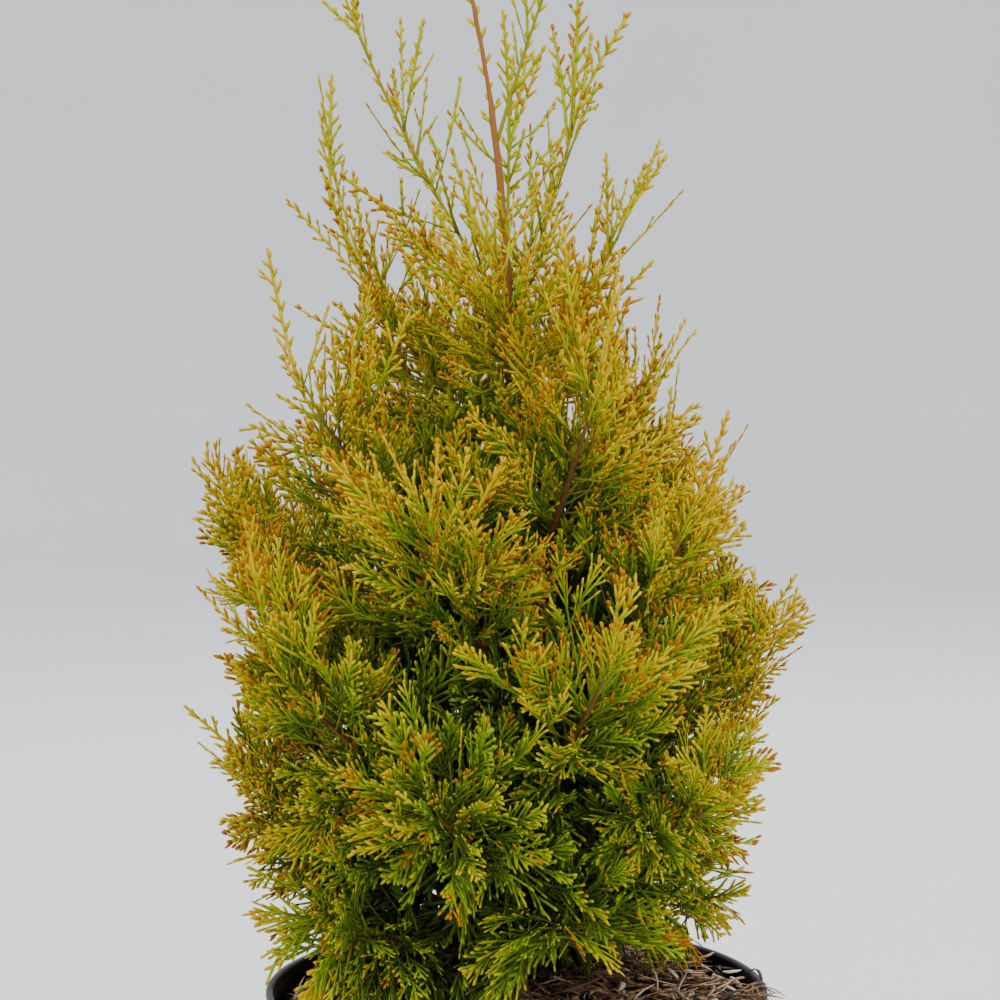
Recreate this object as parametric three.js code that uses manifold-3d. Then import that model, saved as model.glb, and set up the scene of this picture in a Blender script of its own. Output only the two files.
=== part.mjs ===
// A golden thuja in a round nursery pot: the pot, its filling, the trunk, the boughs and the
// masses of foliage. Millimetres, +Z up, the origin at the centre of the pot's flat underside.
// Seen from the front (looking along +Y), azimuth 0 is to the right and azimuth 180 to the left.
import * as THREE from "three";
import { mergeVertices } from "three/addons/utils/BufferGeometryUtils.js";
import Module from "manifold-3d";

const wasm = await Module();
wasm.setup();

// Driving dimensions: the pot and its filling
const gap = 0.3; // clear space between neighbouring pieces
const potHeight = 180;
const rimRadius = 115;
const footRadius = 84;
const wall = 1.6;
const rimRoll = 1.9; // half the width of the rolled rim
const bandHeight = 17; // the straight band under the rim
const bandStep = 1.2; // how far the band stands out from the tapered wall
const shoulderRadius = rimRadius - 3.2;
const footBevel = 3;
const potSides = 32;
const drains = { count: 8, radius: 5.5, ring: 64 };
const compostDepthBelowRim = 12;
const soilTop = potHeight - compostDepthBelowRim;
const soilRings = [92, 66, 40, 16];
const soilSides = 20;
const soilBump = { mound: 2.5, rough: 5 };

// Driving dimensions: the trunk. Heights are above the compost.
const trunkHeight = 487;
const trunkLean = 27; // how far the tip has wandered to the left
const trunkSway = 9;
const trunkBaseRadius = 5.4;
const trunkTipRadius = 0.7;
const rootFlare = 4.2;
const flareHeight = 16;

// Driving dimensions: limbs and sprays
const boughShare = 0.28; // how much of a limb is bare bough
const stemShare = 0.74; // where its stem ends and its last spray begins
const bendShare = 0.58; // how far out the bend of a limb is
const boughRadius = { root: 2.7, end: 2.1 };
const stemRadius = { root: 2, end: 1.5 };
const sprayThickness = 1.6;
const valleyShare = 0.4; // how far out the notches between the teeth stand
const longSpray = 66; // a spray longer than this has one more pair of teeth
const bendOfSpray = 0.22;
const twigWidth = 1.5;
const footShare = 0.6; // how slim the foot of a twig is, in the middle of its stem
const limbClearance = 2.6;
const soilClearance = 6.5;
const neighbourMargin = 1.2;
const sprayDistance = 4; // between the sprays of one mass
const tries = 70;

// Rings of limbs, from the compost upwards. root and tip are heights above the compost, climb
// the rise from one root to the next, bow the height of the bend over the root, shift how much
// further the left side reaches than the right, rise what light or weight does to the sprays,
// sprays how many a mass has at most, size and wide the length of the sprays and their width.
const tiers = [
  {
    name: "skirt", count: 5, first: 216, stride: 2, root: 12, climb: 4.5, bow: 52, tip: 26,
    reach: 114, shift: 9, rise: -0.45, sprays: 9, size: 60, wide: 0.8,
  },
  {
    name: "low", count: 5, first: 180, stride: 2, root: 36, climb: 5.5, bow: 48, tip: 112,
    reach: 129, shift: 12, rise: 0, sprays: 10, size: 60, wide: 0.8,
  },
  {
    name: "wide", count: 5, first: 216, stride: 2, root: 66, climb: 7, bow: 50, tip: 184,
    reach: 135, shift: 5, rise: 0.2, sprays: 10, size: 62, wide: 0.8,
  },
  {
    name: "upper", count: 5, first: 180, stride: 2, root: 106, climb: 9, bow: 58, tip: 246,
    reach: 124, shift: 22, rise: 0.3, sprays: 9, size: 62, wide: 0.78,
  },
  {
    name: "shoulder", count: 4, first: 206, stride: 1, root: 166, climb: 12, bow: 64, tip: 302,
    reach: 101, shift: 20, rise: 0.4, sprays: 9, size: 60, wide: 0.72,
  },
  {
    name: "crown", count: 4, first: 172, stride: 1, root: 250, climb: 10, bow: 52, tip: 378,
    reach: 78, shift: 19, rise: 0.5, sprays: 8, size: 56, wide: 0.62,
  },
];
const bareTiers = 5; // the lower tiers have a bare bough before their mass

// The open shoots of the top, each straight from the trunk.
const topShoots = [
  {
    name: "left_shoot", azimuth: 178, root: 318, bow: 74, tip: 476, reach: 84,
    rise: 0.6, sprays: 9, size: 56, wide: 0.6,
  },
  {
    name: "right_shoot", azimuth: 352, root: 306, bow: 70, tip: 440, reach: 36,
    rise: 0.6, sprays: 8, size: 50, wide: 0.6,
  },
  {
    name: "back_shoot", azimuth: 92, root: 330, bow: 60, tip: 436, reach: 42,
    rise: 0.6, sprays: 7, size: 44, wide: 0.5,
  },
  {
    name: "fork_shoot", azimuth: 4, root: 394, bow: 38, tip: 482, reach: 19,
    rise: 0.8, sprays: 5, size: 28, wide: 0.5,
  },
];
const outlineTop = { tip: trunkHeight, reach: 34, shift: 12 };

const colours = { pot: 0x15171a, compost: 0x4a3426, bark: 0x6f4634, green: 0x6f8a1e, gold: 0xc7a91f };

const up = new THREE.Vector3(0, 0, 1);
const radians = THREE.MathUtils.degToRad;

// Seeded draws, the same on every run: numbers from 0 up to 1.
function seededDraws(seed) {
  let state = seed >>> 0;
  const draw = () => {
    state = (Math.imul(state, 1664525) + 1013904223) >>> 0;
    return state / 4294967296;
  };
  draw();
  draw();
  return draw;
}

// Solids and geometry
function solidOf(geometry) {
  const bare = geometry.clone();
  bare.deleteAttribute("normal");
  bare.deleteAttribute("uv");
  const merged = mergeVertices(bare, 1e-4);
  return new wasm.Manifold(
    new wasm.Mesh({
      numProp: 3,
      vertProperties: new Float32Array(merged.attributes.position.array),
      triVerts: new Uint32Array(merged.index.array),
    }),
  );
}

function geometryOf(solid) {
  const mesh = solid.getMesh();
  return new THREE.BufferGeometry()
    .setAttribute("position", new THREE.BufferAttribute(new Float32Array(mesh.vertProperties), 3))
    .setIndex(new THREE.BufferAttribute(new Uint32Array(mesh.triVerts), 1));
}

function largestBody(solid) {
  return solid.decompose().reduce((best, body) => (body.volume() > best.volume() ? body : best));
}

// A limb of changing radius along a path: a cylinder whose rings are carried onto the path. The
// direction across keeps its sides from twisting.
function limbSolid(pointAt, radiusAt, across, sides, segments) {
  const cylinder = new THREE.CylinderGeometry(1, 1, 1, sides, segments);
  const position = cylinder.attributes.position;
  const step = 1e-3;
  for (let i = 0; i < position.count; i++) {
    const t = position.getY(i) + 0.5;
    const ahead = pointAt(Math.min(1, t + step)).sub(pointAt(Math.max(0, t - step))).normalize();
    const side = across.clone().addScaledVector(ahead, -across.dot(ahead)).normalize();
    const other = new THREE.Vector3().crossVectors(side, ahead);
    const place = pointAt(t)
      .addScaledVector(side, position.getX(i) * radiusAt(t))
      .addScaledVector(other, position.getZ(i) * radiusAt(t));
    position.setXYZ(i, place.x, place.y, place.z);
  }
  return solidOf(cylinder);
}

// The trunk: tapered from a small root flare to the tip of the leader.
function trunkPoint(height) {
  const t = height / trunkHeight;
  const sway = trunkSway * t * Math.sin(2 * Math.PI * t);
  return new THREE.Vector3(-trunkLean * t ** 5, sway, soilTop + height);
}

function trunkRadius(height) {
  const t = height / trunkHeight;
  const flare = rootFlare * Math.max(0, 1 - height / flareHeight) ** 2;
  return trunkTipRadius + (trunkBaseRadius - trunkTipRadius) * (1 - t) ** 1.1 + flare;
}

function trunkSolid(extra) {
  const heightAt = (t) => gap + (trunkHeight - gap) * t ** 1.35;
  const point = (t) => trunkPoint(heightAt(t));
  const radius = (t) => trunkRadius(heightAt(t)) + extra;
  return limbSolid(point, radius, new THREE.Vector3(1, 0, 0), 8, 14);
}

// The limbs: where each leaves the trunk, how it bends and where its tip is.
function limbOf(name, azimuth, root, tip, reach, bare, seed, habit) {
  const outward = new THREE.Vector3(Math.cos(radians(azimuth)), Math.sin(radians(azimuth)), 0);
  const foot = trunkPoint(root);
  const bend = outward.clone().multiplyScalar(reach * bendShare).add(foot);
  bend.z += habit.bow;
  const end = outward.clone().multiplyScalar(reach).setZ(soilTop + tip);
  const curve = new THREE.QuadraticBezierCurve3(foot, bend, end);
  const across = new THREE.Vector3(-outward.y, outward.x, 0);
  return { name, azimuth, curve, across, bare, habit, draw: seededDraws(seed) };
}

function tierLimbs(tier, level) {
  const limbs = [];
  for (let k = 0; k < tier.count; k++) {
    const azimuth = tier.first + (k * tier.stride * 360) / tier.count;
    const draw = seededDraws(1000 * (level + 1) + k);
    const reach = (tier.reach - tier.shift * Math.cos(radians(azimuth))) * (0.96 + 0.08 * draw());
    const tip = tier.tip + 16 * (draw() - 0.5);
    const root = tier.root + k * tier.climb;
    const bare = level < bareTiers ? boughShare : 0;
    const seed = 77 + 100 * level + k;
    limbs.push(limbOf(`${tier.name}_${k + 1}`, azimuth, root, tip, reach, bare, seed, tier));
  }
  return limbs;
}

function allLimbs() {
  const shoots = topShoots.map((shoot, k) => {
    const { name, azimuth, root, tip, reach } = shoot;
    return limbOf(name, azimuth, root, tip, reach, 0, 900 + k, shoot);
  });
  const limbs = [...tiers.flatMap(tierLimbs), ...shoots];
  for (const limb of limbs) {
    const from = Math.max(limb.bare, 0.3);
    const quarters = [0, 0.25, 0.5, 0.75, 1];
    limb.seeds = [0, 0.33, 0.66, 1].map((share) => limb.curve.getPoint(from + (1 - from) * share));
    limb.boughPath = limb.bare ? quarters.map((share) => limb.curve.getPoint(limb.bare * share)) : [];
  }
  return limbs;
}

// The room of a mass: the points nearer to its own stem than to any other.
function insideRoom(point, limb, limbs) {
  const nearest = (seeds) => Math.min(...seeds.map((seed) => seed.distanceTo(point)));
  const own = nearest(limb.seeds);
  return limbs.every((other) => other === limb || nearest(other.seeds) > own + neighbourMargin);
}

// The outline of the whole plant at a height and azimuth, read between the tips of the rings.
function outlineReach(height, azimuth) {
  const rings = [...tiers, outlineTop];
  const next = rings.findIndex((ring) => ring.tip > height);
  const above = next < 0 ? outlineTop : rings[Math.max(1, next)];
  const below = next < 0 ? outlineTop : rings[Math.max(0, next - 1)];
  const span = Math.max(1, above.tip - below.tip);
  const share = THREE.MathUtils.clamp((height - below.tip) / span, 0, 1);
  const reach = THREE.MathUtils.lerp(below.reach, above.reach, share);
  return reach - THREE.MathUtils.lerp(below.shift, above.shift, share) * Math.cos(azimuth);
}

function insideOutline(point) {
  const far = Math.hypot(point.x, point.y);
  const height = point.z - soilTop;
  const overRim = far > potInside(potHeight) - 5;
  if (height < soilClearance || height > trunkHeight) return false;
  if (overRim && height < compostDepthBelowRim + 3.5) return false;
  return far < outlineReach(height, Math.atan2(point.y, point.x));
}

function distanceToSegment(point, a, b) {
  return new THREE.Line3(a, b).closestPointToPoint(point, true, new THREE.Vector3()).distanceTo(point);
}

function clearOfLimbs(point, limbs) {
  const height = point.z - soilTop;
  if (height < trunkHeight && trunkPoint(height).distanceTo(point) < trunkRadius(height) + limbClearance) {
    return false;
  }
  const near = boughRadius.root + limbClearance;
  return limbs.every(({ boughPath }) =>
    boughPath.every((place, i) => i === 0 || distanceToSegment(point, boughPath[i - 1], place) > near),
  );
}

// A spray: a toothed blade, flat behind and ridged in front, on its own piece of twig. Its line
// bends up or down as it goes out.
function sprayOutline(spray) {
  const teeth = spray.length > longSpray ? 3 : 2;
  const side = new THREE.Vector3().crossVectors(spray.normal, spray.along).normalize();
  const pitch = spray.length / (teeth + 0.9);
  const place = (s, across) =>
    spray.root
      .clone()
      .addScaledVector(spray.along, s)
      .addScaledVector(up, (bendOfSpray * spray.rise * s * Math.abs(s)) / spray.length)
      .addScaledVector(side, across);
  const half = (spray.length * spray.wide) / 2;
  const spread = (i) => half * Math.sin(Math.PI * (0.3 + (0.5 * (i + 0.6)) / teeth));
  const stations = [];
  for (let i = 0; i <= teeth; i++) {
    const valley = i === 0 ? twigWidth / 2 : valleyShare * spread(i - 0.5);
    stations.push({ s: i * pitch, valley, ridge: sprayThickness * (1 - (0.35 * i) / teeth) });
  }
  const left = [];
  const right = [];
  for (let i = 0; i < teeth; i++) {
    left.push(place((i + 1.1) * pitch, spread(i)));
    right.push(place((i + 1.4) * pitch, -0.94 * spread(i + 0.3)));
  }
  return { place, stations, left, right, tip: place(spray.length, 0) };
}

function spraySolid(spray) {
  const { place, stations, left, right, tip } = sprayOutline(spray);
  const points = [];
  const faces = [];
  const add = (point) => points.push(point.addScaledVector(spray.normal, -0.4 * sprayThickness)) - 1;
  const ring = (s, valley, ridge) => ({
    ridge: add(place(s, 0).addScaledVector(spray.normal, ridge)),
    left: add(place(s, valley)),
    right: add(place(s, -valley)),
  });
  const wallBetween = (here, next, a, b) => {
    faces.push(here[a], here[b], next[b], here[a], next[b], next[a]);
  };
  const foot = ring(-spray.twig, (footShare * twigWidth) / 2, footShare * sprayThickness);
  const rings = stations.map((station) => ring(station.s, station.valley, station.ridge));
  faces.push(foot.ridge, foot.left, foot.right);
  wallBetween(foot, rings[0], "left", "ridge");
  wallBetween(foot, rings[0], "ridge", "right");
  wallBetween(foot, rings[0], "right", "left");
  left.forEach((leftPoint, i) => {
    const here = rings[i];
    const next = rings[i + 1];
    const leftTip = add(leftPoint);
    const rightTip = add(right[i]);
    wallBetween(here, next, "right", "left");
    faces.push(here.ridge, leftTip, here.left);
    faces.push(here.ridge, next.left, leftTip);
    faces.push(here.ridge, next.ridge, next.left);
    faces.push(here.ridge, here.right, rightTip);
    faces.push(here.ridge, rightTip, next.right);
    faces.push(here.ridge, next.right, next.ridge);
    faces.push(here.left, leftTip, next.left);
    faces.push(here.right, next.right, rightTip);
  });
  const last = rings[rings.length - 1];
  const end = add(tip);
  faces.push(last.ridge, end, last.left);
  faces.push(last.ridge, last.right, end);
  faces.push(last.left, end, last.right);
  const places = new Float32Array(points.flatMap((point) => point.toArray()));
  const position = new THREE.BufferAttribute(places, 3);
  return solidOf(new THREE.BufferGeometry().setAttribute("position", position).setIndex(faces));
}

// The places on a spray that must stay in its mass's room, clear of limbs and of other sprays.
function sprayPlaces(spray) {
  const { place, stations, left, right, tip } = sprayOutline(spray);
  const places = [tip, ...left, ...right];
  for (let s = 6 - spray.twig; s < spray.length; s += 6) places.push(place(s, 0));
  left.forEach((tooth, i) => {
    const next = place(stations[i + 1].s, 0);
    places.push(tooth.clone().lerp(next, 0.5), right[i].clone().lerp(next, 0.5));
  });
  return places;
}

// The plane of a spray holds its own direction and stands more or less upright, rolled by a draw.
function sprayPlane(along, across, roll) {
  const level = new THREE.Vector3().crossVectors(along, up);
  const normal = level.length() > 0.35 ? level.normalize() : across.clone();
  normal.addScaledVector(along, -normal.dot(along)).normalize();
  return normal.applyAxisAngle(along, roll);
}

// Adds a spray to its mass if one fits there, at full size or smaller, at one of three rolls.
function trySpray(mass, limb, limbs, { foot, along, twig, size, roll }) {
  const { rise, wide } = limb.habit;
  for (const shrink of [1, 0.78, 0.6]) {
    for (const turn of [0, 50, -50]) {
      const normal = sprayPlane(along, limb.across, roll + radians(turn));
      const root = foot.clone().addScaledVector(along, twig);
      const spray = { root, along, twig, normal, length: size * shrink, rise, wide };
      const places = sprayPlaces(spray);
      const fits = (point) =>
        (twig === 0 || insideOutline(point)) &&
        mass.taken.every((other) => other.distanceTo(point) > sprayDistance) &&
        insideRoom(point, limb, limbs) &&
        clearOfLimbs(point, limbs);
      if (places.every(fits)) {
        mass.taken.push(...places);
        mass.sprays.push(spray);
        return;
      }
    }
  }
}

// The direction of a twig: open degrees off its stem, turned round the stem, lifted to the light.
function twigDirection(limb, t, turn, open) {
  const ahead = limb.curve.getTangent(t);
  const lifted = new THREE.Vector3().crossVectors(ahead, limb.across).normalize();
  if (lifted.z < 0) lifted.negate();
  return lifted
    .applyAxisAngle(ahead, turn)
    .multiplyScalar(Math.sin(open))
    .addScaledVector(ahead, Math.cos(open))
    .addScaledVector(up, limb.habit.rise * 0.4)
    .normalize();
}

// A mass grows from one stem, which ends in a spray. Twigs turn off the stem to either side in
// turn, each ending in a spray; further twigs are tried at drawn places until the mass is full.
function growMass(limb, limbs) {
  const { draw, habit, bare } = limb;
  const mass = { sprays: [], taken: [] };
  const stemEnd = limb.curve.getPoint(stemShare);
  const ahead = limb.curve.getPoint(1).sub(stemEnd);
  const facing = 62 * Math.abs(Math.sin(radians(limb.azimuth)));
  const tipRoll = radians(facing + 70 * (draw() - 0.5));
  const size = ahead.length();
  trySpray(mass, limb, limbs, { foot: stemEnd, along: ahead.normalize(), twig: 0, size, roll: tipRoll });
  for (let k = 0; k < tries && mass.sprays.length < habit.sprays; k++) {
    const even = (k + (bare ? 0.3 : 1.3)) / (habit.sprays + (bare ? 0 : 1));
    const share = k < habit.sprays ? even : draw();
    const t = bare + (stemShare - bare) * share;
    const turn = (k % 2 ? 1 : -1) * radians(85 + 110 * (draw() - 0.5));
    const open = radians(70 - 28 * share + 24 * (draw() - 0.5));
    const along = twigDirection(limb, t, turn, open);
    const length = habit.size * (1 - 0.25 * share) * (0.85 + 0.25 * draw());
    const twig = length * (0.08 + 0.42 * draw() ** 1.5);
    const roll = radians(120 * (draw() - 0.5));
    const foot = limb.curve.getPoint(t);
    trySpray(mass, limb, limbs, { foot, along, twig, size: length, roll });
  }
  return mass.sprays;
}

function stemSolid(limb) {
  const step = 0.01;
  const speed = limb.curve.getPoint(limb.bare).distanceTo(limb.curve.getPoint(limb.bare + step)) / step;
  const first = limb.bare ? limb.bare + (1.1 * gap) / speed : 0;
  const point = (t) => limb.curve.getPoint(first + (stemShare - first) * t);
  const radius = (t) => THREE.MathUtils.lerp(stemRadius.root, stemRadius.end, t);
  return limbSolid(point, radius, limb.across, 3, limb.bare ? 2 : 4);
}

function massSolid(limb, limbs, trunkRoom) {
  const whole = wasm.Manifold.union([stemSolid(limb), ...growMass(limb, limbs).map(spraySolid)]);
  return largestBody(limb.bare ? whole : whole.subtract(trunkRoom));
}

function boughSolid(limb, trunkRoom) {
  const point = (t) => limb.curve.getPoint(limb.bare * t);
  const radius = (t) => THREE.MathUtils.lerp(boughRadius.root, boughRadius.end, t);
  return largestBody(limbSolid(point, radius, limb.across, 5, 2).subtract(trunkRoom));
}

// The pot: a thin tapered wall with a band, a rolled rim and a flat foot with drain holes.
function potInside(height) {
  const bandFoot = potHeight - bandHeight;
  if (height > bandFoot) return shoulderRadius + bandStep - wall;
  return THREE.MathUtils.lerp(footRadius, shoulderRadius, height / bandFoot) - wall;
}

function potSolid() {
  const bandFoot = potHeight - bandHeight;
  const underRim = potHeight - 5;
  const outside = [
    [0, 0],
    [footRadius - footBevel, 0],
    [footRadius, footBevel],
    [shoulderRadius, bandFoot],
    [shoulderRadius + bandStep, bandFoot + 1.6],
    [rimRadius - 2 * rimRoll, underRim],
    [rimRadius, underRim + 1],
    [rimRadius, potHeight - 1.2],
    [rimRadius - rimRoll, potHeight],
  ];
  const inside = [
    [rimRadius - 2 * rimRoll - 0.4, potHeight - 0.9],
    [potInside(potHeight), potHeight - 4],
    [potInside(bandFoot + 1), bandFoot + 1],
    [potInside(bandFoot), bandFoot],
    [footRadius - wall, footBevel + 0.4],
    [footRadius - footBevel - wall, wall],
    [0, wall],
  ];
  const profile = [...outside, ...inside].map(([r, z]) => new THREE.Vector2(r, z));
  let pot = solidOf(new THREE.LatheGeometry(profile, potSides).rotateX(Math.PI / 2));
  for (let k = 0; k < drains.count; k++) {
    const turn = (2 * Math.PI * (k + 0.5)) / drains.count;
    const hole = new THREE.CylinderGeometry(drains.radius, drains.radius, 8, 6).rotateX(Math.PI / 2);
    hole.translate(drains.ring * Math.cos(turn), drains.ring * Math.sin(turn), 0);
    pot = pot.subtract(solidOf(hole));
  }
  return pot;
}

// The filling: compost up to below the rim, with an uneven top that is level round the trunk.
function compostSolid() {
  const draw = seededDraws(31);
  const fit = (r) => r * Math.cos(Math.PI / potSides) - 1.3 * gap;
  const bandFoot = potHeight - bandHeight;
  const profile = [
    [0, wall + gap],
    [fit(footRadius - footBevel - wall) - 2, wall + gap],
    [fit(footRadius - wall) - 0.6, 5],
    [fit(potInside(bandFoot)) - 0.1, bandFoot - 1],
    [fit(potInside(bandFoot)), soilTop - 4],
    ...soilRings.map((r) => [r, soilTop]),
    [0, soilTop],
  ];
  const outline = profile.map(([r, z]) => new THREE.Vector2(r, z));
  const lathe = new THREE.LatheGeometry(outline, soilSides).rotateX(Math.PI / 2);
  const merged = mergeVertices(lathe.deleteAttribute("normal").deleteAttribute("uv"), 1e-3);
  const position = merged.attributes.position;
  const level = soilRings[soilRings.length - 1] + 1;
  for (let i = 0; i < position.count; i++) {
    const azimuth = Math.atan2(position.getY(i), position.getX(i));
    const far = Math.hypot(position.getX(i), position.getY(i));
    if (position.getZ(i) > soilTop - 0.5 && far > level) {
      const mound = soilBump.mound * Math.sin(azimuth + 0.6);
      position.setZ(i, soilTop + mound + soilBump.rough * (draw() - 0.5));
    }
  }
  return solidOf(merged);
}

// The assembly
const plant = new THREE.Group();
plant.name = "potted_thuja";

function addNode(name, solid, color, roughness) {
  const material = new THREE.MeshStandardMaterial({ color, roughness, metalness: 0 });
  const mesh = new THREE.Mesh(geometryOf(solid), material);
  mesh.name = name;
  plant.add(mesh);
}

const limbs = allLimbs();
const trunkRoom = trunkSolid(gap + 0.1);
addNode("pot", potSolid(), colours.pot, 0.45);
addNode("compost", compostSolid(), colours.compost, 0.95);
addNode("trunk", trunkSolid(0), colours.bark, 0.85);
for (const limb of limbs) {
  const leaf = limb.habit.rise > 0.2 ? colours.gold : colours.green;
  if (limb.bare) addNode(`bough_${limb.name}`, boughSolid(limb, trunkRoom), colours.bark, 0.85);
  addNode(`foliage_${limb.name}`, massSolid(limb, limbs, trunkRoom), leaf, 0.6);
}

export default plant;
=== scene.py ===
import functools
import math
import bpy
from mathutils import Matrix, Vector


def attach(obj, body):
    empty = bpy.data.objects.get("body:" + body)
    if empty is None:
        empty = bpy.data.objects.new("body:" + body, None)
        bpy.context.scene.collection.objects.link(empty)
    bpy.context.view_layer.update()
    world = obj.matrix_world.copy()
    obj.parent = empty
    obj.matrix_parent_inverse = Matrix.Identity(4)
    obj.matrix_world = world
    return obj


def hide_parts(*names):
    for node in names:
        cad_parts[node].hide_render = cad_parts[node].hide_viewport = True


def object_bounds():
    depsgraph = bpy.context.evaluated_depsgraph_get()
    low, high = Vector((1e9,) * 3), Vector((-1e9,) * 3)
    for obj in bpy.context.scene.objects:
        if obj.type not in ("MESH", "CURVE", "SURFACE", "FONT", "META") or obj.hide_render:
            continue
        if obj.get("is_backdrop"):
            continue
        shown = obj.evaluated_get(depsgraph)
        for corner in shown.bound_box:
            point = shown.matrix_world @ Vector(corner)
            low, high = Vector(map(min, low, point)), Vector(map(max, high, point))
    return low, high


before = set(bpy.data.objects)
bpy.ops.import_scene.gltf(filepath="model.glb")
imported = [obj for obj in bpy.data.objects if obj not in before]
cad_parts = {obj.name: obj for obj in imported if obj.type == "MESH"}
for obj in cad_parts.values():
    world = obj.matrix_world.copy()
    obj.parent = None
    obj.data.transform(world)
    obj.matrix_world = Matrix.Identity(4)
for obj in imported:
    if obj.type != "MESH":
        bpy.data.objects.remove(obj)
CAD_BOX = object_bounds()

from types import SimpleNamespace

import bpy
import numpy as np
from bpy.props import FloatProperty, FloatVectorProperty, IntProperty, PointerProperty
from mathutils import Vector

bl_info = {
    "name": "Potted golden thuja",
    "version": (1, 0, 0),
    "blender": (4, 5, 0),
    "location": "View3D > Sidebar > Thuja",
    "description": "Grows a young golden thuja in a round nursery pot with a bark mulch",
    "category": "Add Mesh",
}


def rows(keys, values):
    return [SimpleNamespace(**dict(zip(keys.split(), row))) for row in values]


MM = 0.001
UP = np.array([0.0, 0.0, 1.0])

# The pot, as in the part's source. Millimetres, the origin under the middle of the pot.
POT = SimpleNamespace(
    height=180, rim=115, foot=84, wall=1.6, roll=1.9, band_foot=163, step=1.2, shoulder=111.8,
    bevel=3, sides=128, drains=8, drain_radius=5.5, drain_ring=64, least_faces=1000,
)
SOIL_TOP = 168
RIM_DEPTH = 12
POT_DUST = (0.115, 0.105, 0.090)

# The bark on the compost: name, colour and share of the strands, and how far out the strands lie.
MULCH = (
    ("dark_mulch", (0.085, 0.050, 0.032), 0.20),
    ("red_mulch", (0.255, 0.140, 0.072), 0.34),
    ("tan_mulch", (0.500, 0.320, 0.180), 0.34),
    ("pale_mulch", (0.640, 0.520, 0.370), 0.12),
)
MULCH_REACH, MULCH_EDGE, CHIP_SHARE = 106, 109, 0.35

# The trunk. Heights are above the compost.
TRUNK = SimpleNamespace(height=487, lean=27, sway=9, base=5.4, tip=0.7, flare=4.2, flare_height=16)

# Limbs and sprays: the same rule and values as in the part's source.
BOUGH_SHARE, STEM_SHARE, BEND_SHARE = 0.28, 0.74, 0.58
BOUGH_RADIUS = (2.7, 2.1)
STEM_RADIUS, YOUNG_STEM_RADIUS = 2.0, 1.0
LONG_SPRAY, BEND_OF_SPRAY = 66, 0.22
LIMB_CLEARANCE, SOIL_CLEARANCE, NEIGHBOUR_MARGIN = 2.6, 6.5, 1.2
SPRAY_DISTANCE, TRIES, TRIES_EACH_ROUND, BARE_TIERS = 4, 70, 6, 5

TIERS = rows("name count first stride root climb bow tip reach shift rise sprays size wide", (
    ("skirt", 5, 216, 2, 12, 4.5, 52, 26, 114, 9, -0.45, 9, 60, 0.8),
    ("low", 5, 180, 2, 36, 5.5, 48, 112, 129, 12, 0, 10, 60, 0.8),
    ("wide", 5, 216, 2, 66, 7, 50, 184, 135, 5, 0.2, 10, 62, 0.8),
    ("upper", 5, 180, 2, 106, 9, 58, 246, 124, 22, 0.3, 9, 62, 0.78),
    ("shoulder", 4, 206, 1, 166, 12, 64, 302, 101, 20, 0.4, 9, 60, 0.72),
    ("crown", 4, 172, 1, 250, 10, 52, 378, 78, 19, 0.5, 8, 56, 0.62),
))
TOP_SHOOTS = rows("name azimuth root bow tip reach rise sprays size wide", (
    ("left_shoot", 178, 318, 74, 476, 84, 0.6, 9, 56, 0.6),
    ("right_shoot", 352, 306, 70, 440, 36, 0.6, 8, 50, 0.6),
    ("back_shoot", 92, 330, 60, 436, 42, 0.6, 7, 44, 0.5),
    ("fork_shoot", 4, 394, 38, 482, 19, 0.8, 5, 28, 0.5),
))
RINGS = [*TIERS, SimpleNamespace(tip=TRUNK.height, reach=34, shift=12)]

# Where the draws of each kind of growth start.
SEEDS = SimpleNamespace(
    reach=1000, mass=77, top=900, gaps=5000, sprays=20000, filling=60000, long_shoots=90000, stems=95000,
    leader=97000,
)

# How much wider apart the fronds and shoots of some sprays stand. The fork and the back are thin.
THINNED = {"left_shoot": 0.85, "right_shoot": 1.4, "back_shoot": 3.6, "fork_shoot": 3.4}
THINNED_INSIDE, THINNED_FILLING, SPARSE = 2.6, 1.25, 1.9

# Curves: places and the values at them. Heights are millimetres above the compost, the rest shares.
FILLING_BY_HEIGHT = ([40, 90, 230, 280, 340, 390], [1.3, 1.05, 1, 1.3, 1.2, 0])
FILLING_BY_REACH = ([0.30, 0.62], [0.75, 1.25])
PULL_BY_HEIGHT = ([30, 75, 130, 330, 430], [-0.55, -0.25, 0.50, 0.66, 0.2])
DROOP_BY_HEIGHT = ([30, 90, 140], [0.40, 0.26, 0.0])
SIDE_SHOOT_SPAN = ([0, 0.2, 0.5, 0.8, 1], [0.8, 1, 0.82, 0.48, 0.24])
HALF_SPRAY = ([0, 0.38, 0.72, 1], [0.6, 1.05, 0.9, 0.2])
DEEP_BY_HEIGHT = ([0.3, 0.5, 0.6, 0.62], [1, 0.6, 0.4, 0])
DEEP_WIDENING = ([0.30, 0.60], [2.1, 1.35])
TOP_SCORE = ([0.62, 0.80], [1.2, 0.76])
COLOURED_TIPS = ([0.2, 0.5, 0.8], [0.30, 0.44, 0.72])
STRAND_SHAPE = ([0, 0.25, 0.75, 1], [0.35, 1, 0.9, 0.3])

# Fronds: where the side shoots end, the widths of the shoots and the limits of a frond's length.
FROND_END = 0.93
AXIS_WIDTH, SIDE_WIDTH, FORK_WIDTH, STEM_SHOOT_WIDTH = 1.6, 1.5, 1.4, 1.75
LONGEST_FROND, SHORTEST_FROND = 40.0, 12
BARE_LEADER, LEADER_ROOM, LEADER_DRESSED = 370, 10, 400
LONG_SHOOTS, LONG_SHOOT_PITCH, LONG_SHOOT_BARE = 4, 3.4, 0.25
WOODY_BELOW = 330

# The mulch shows at the front right, where the foliage stays higher. Millimetres and degrees.
MULCH_GAP = SimpleNamespace(least=7, more=36, azimuth=-43, half=62, edge=22, reach=60)

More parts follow.
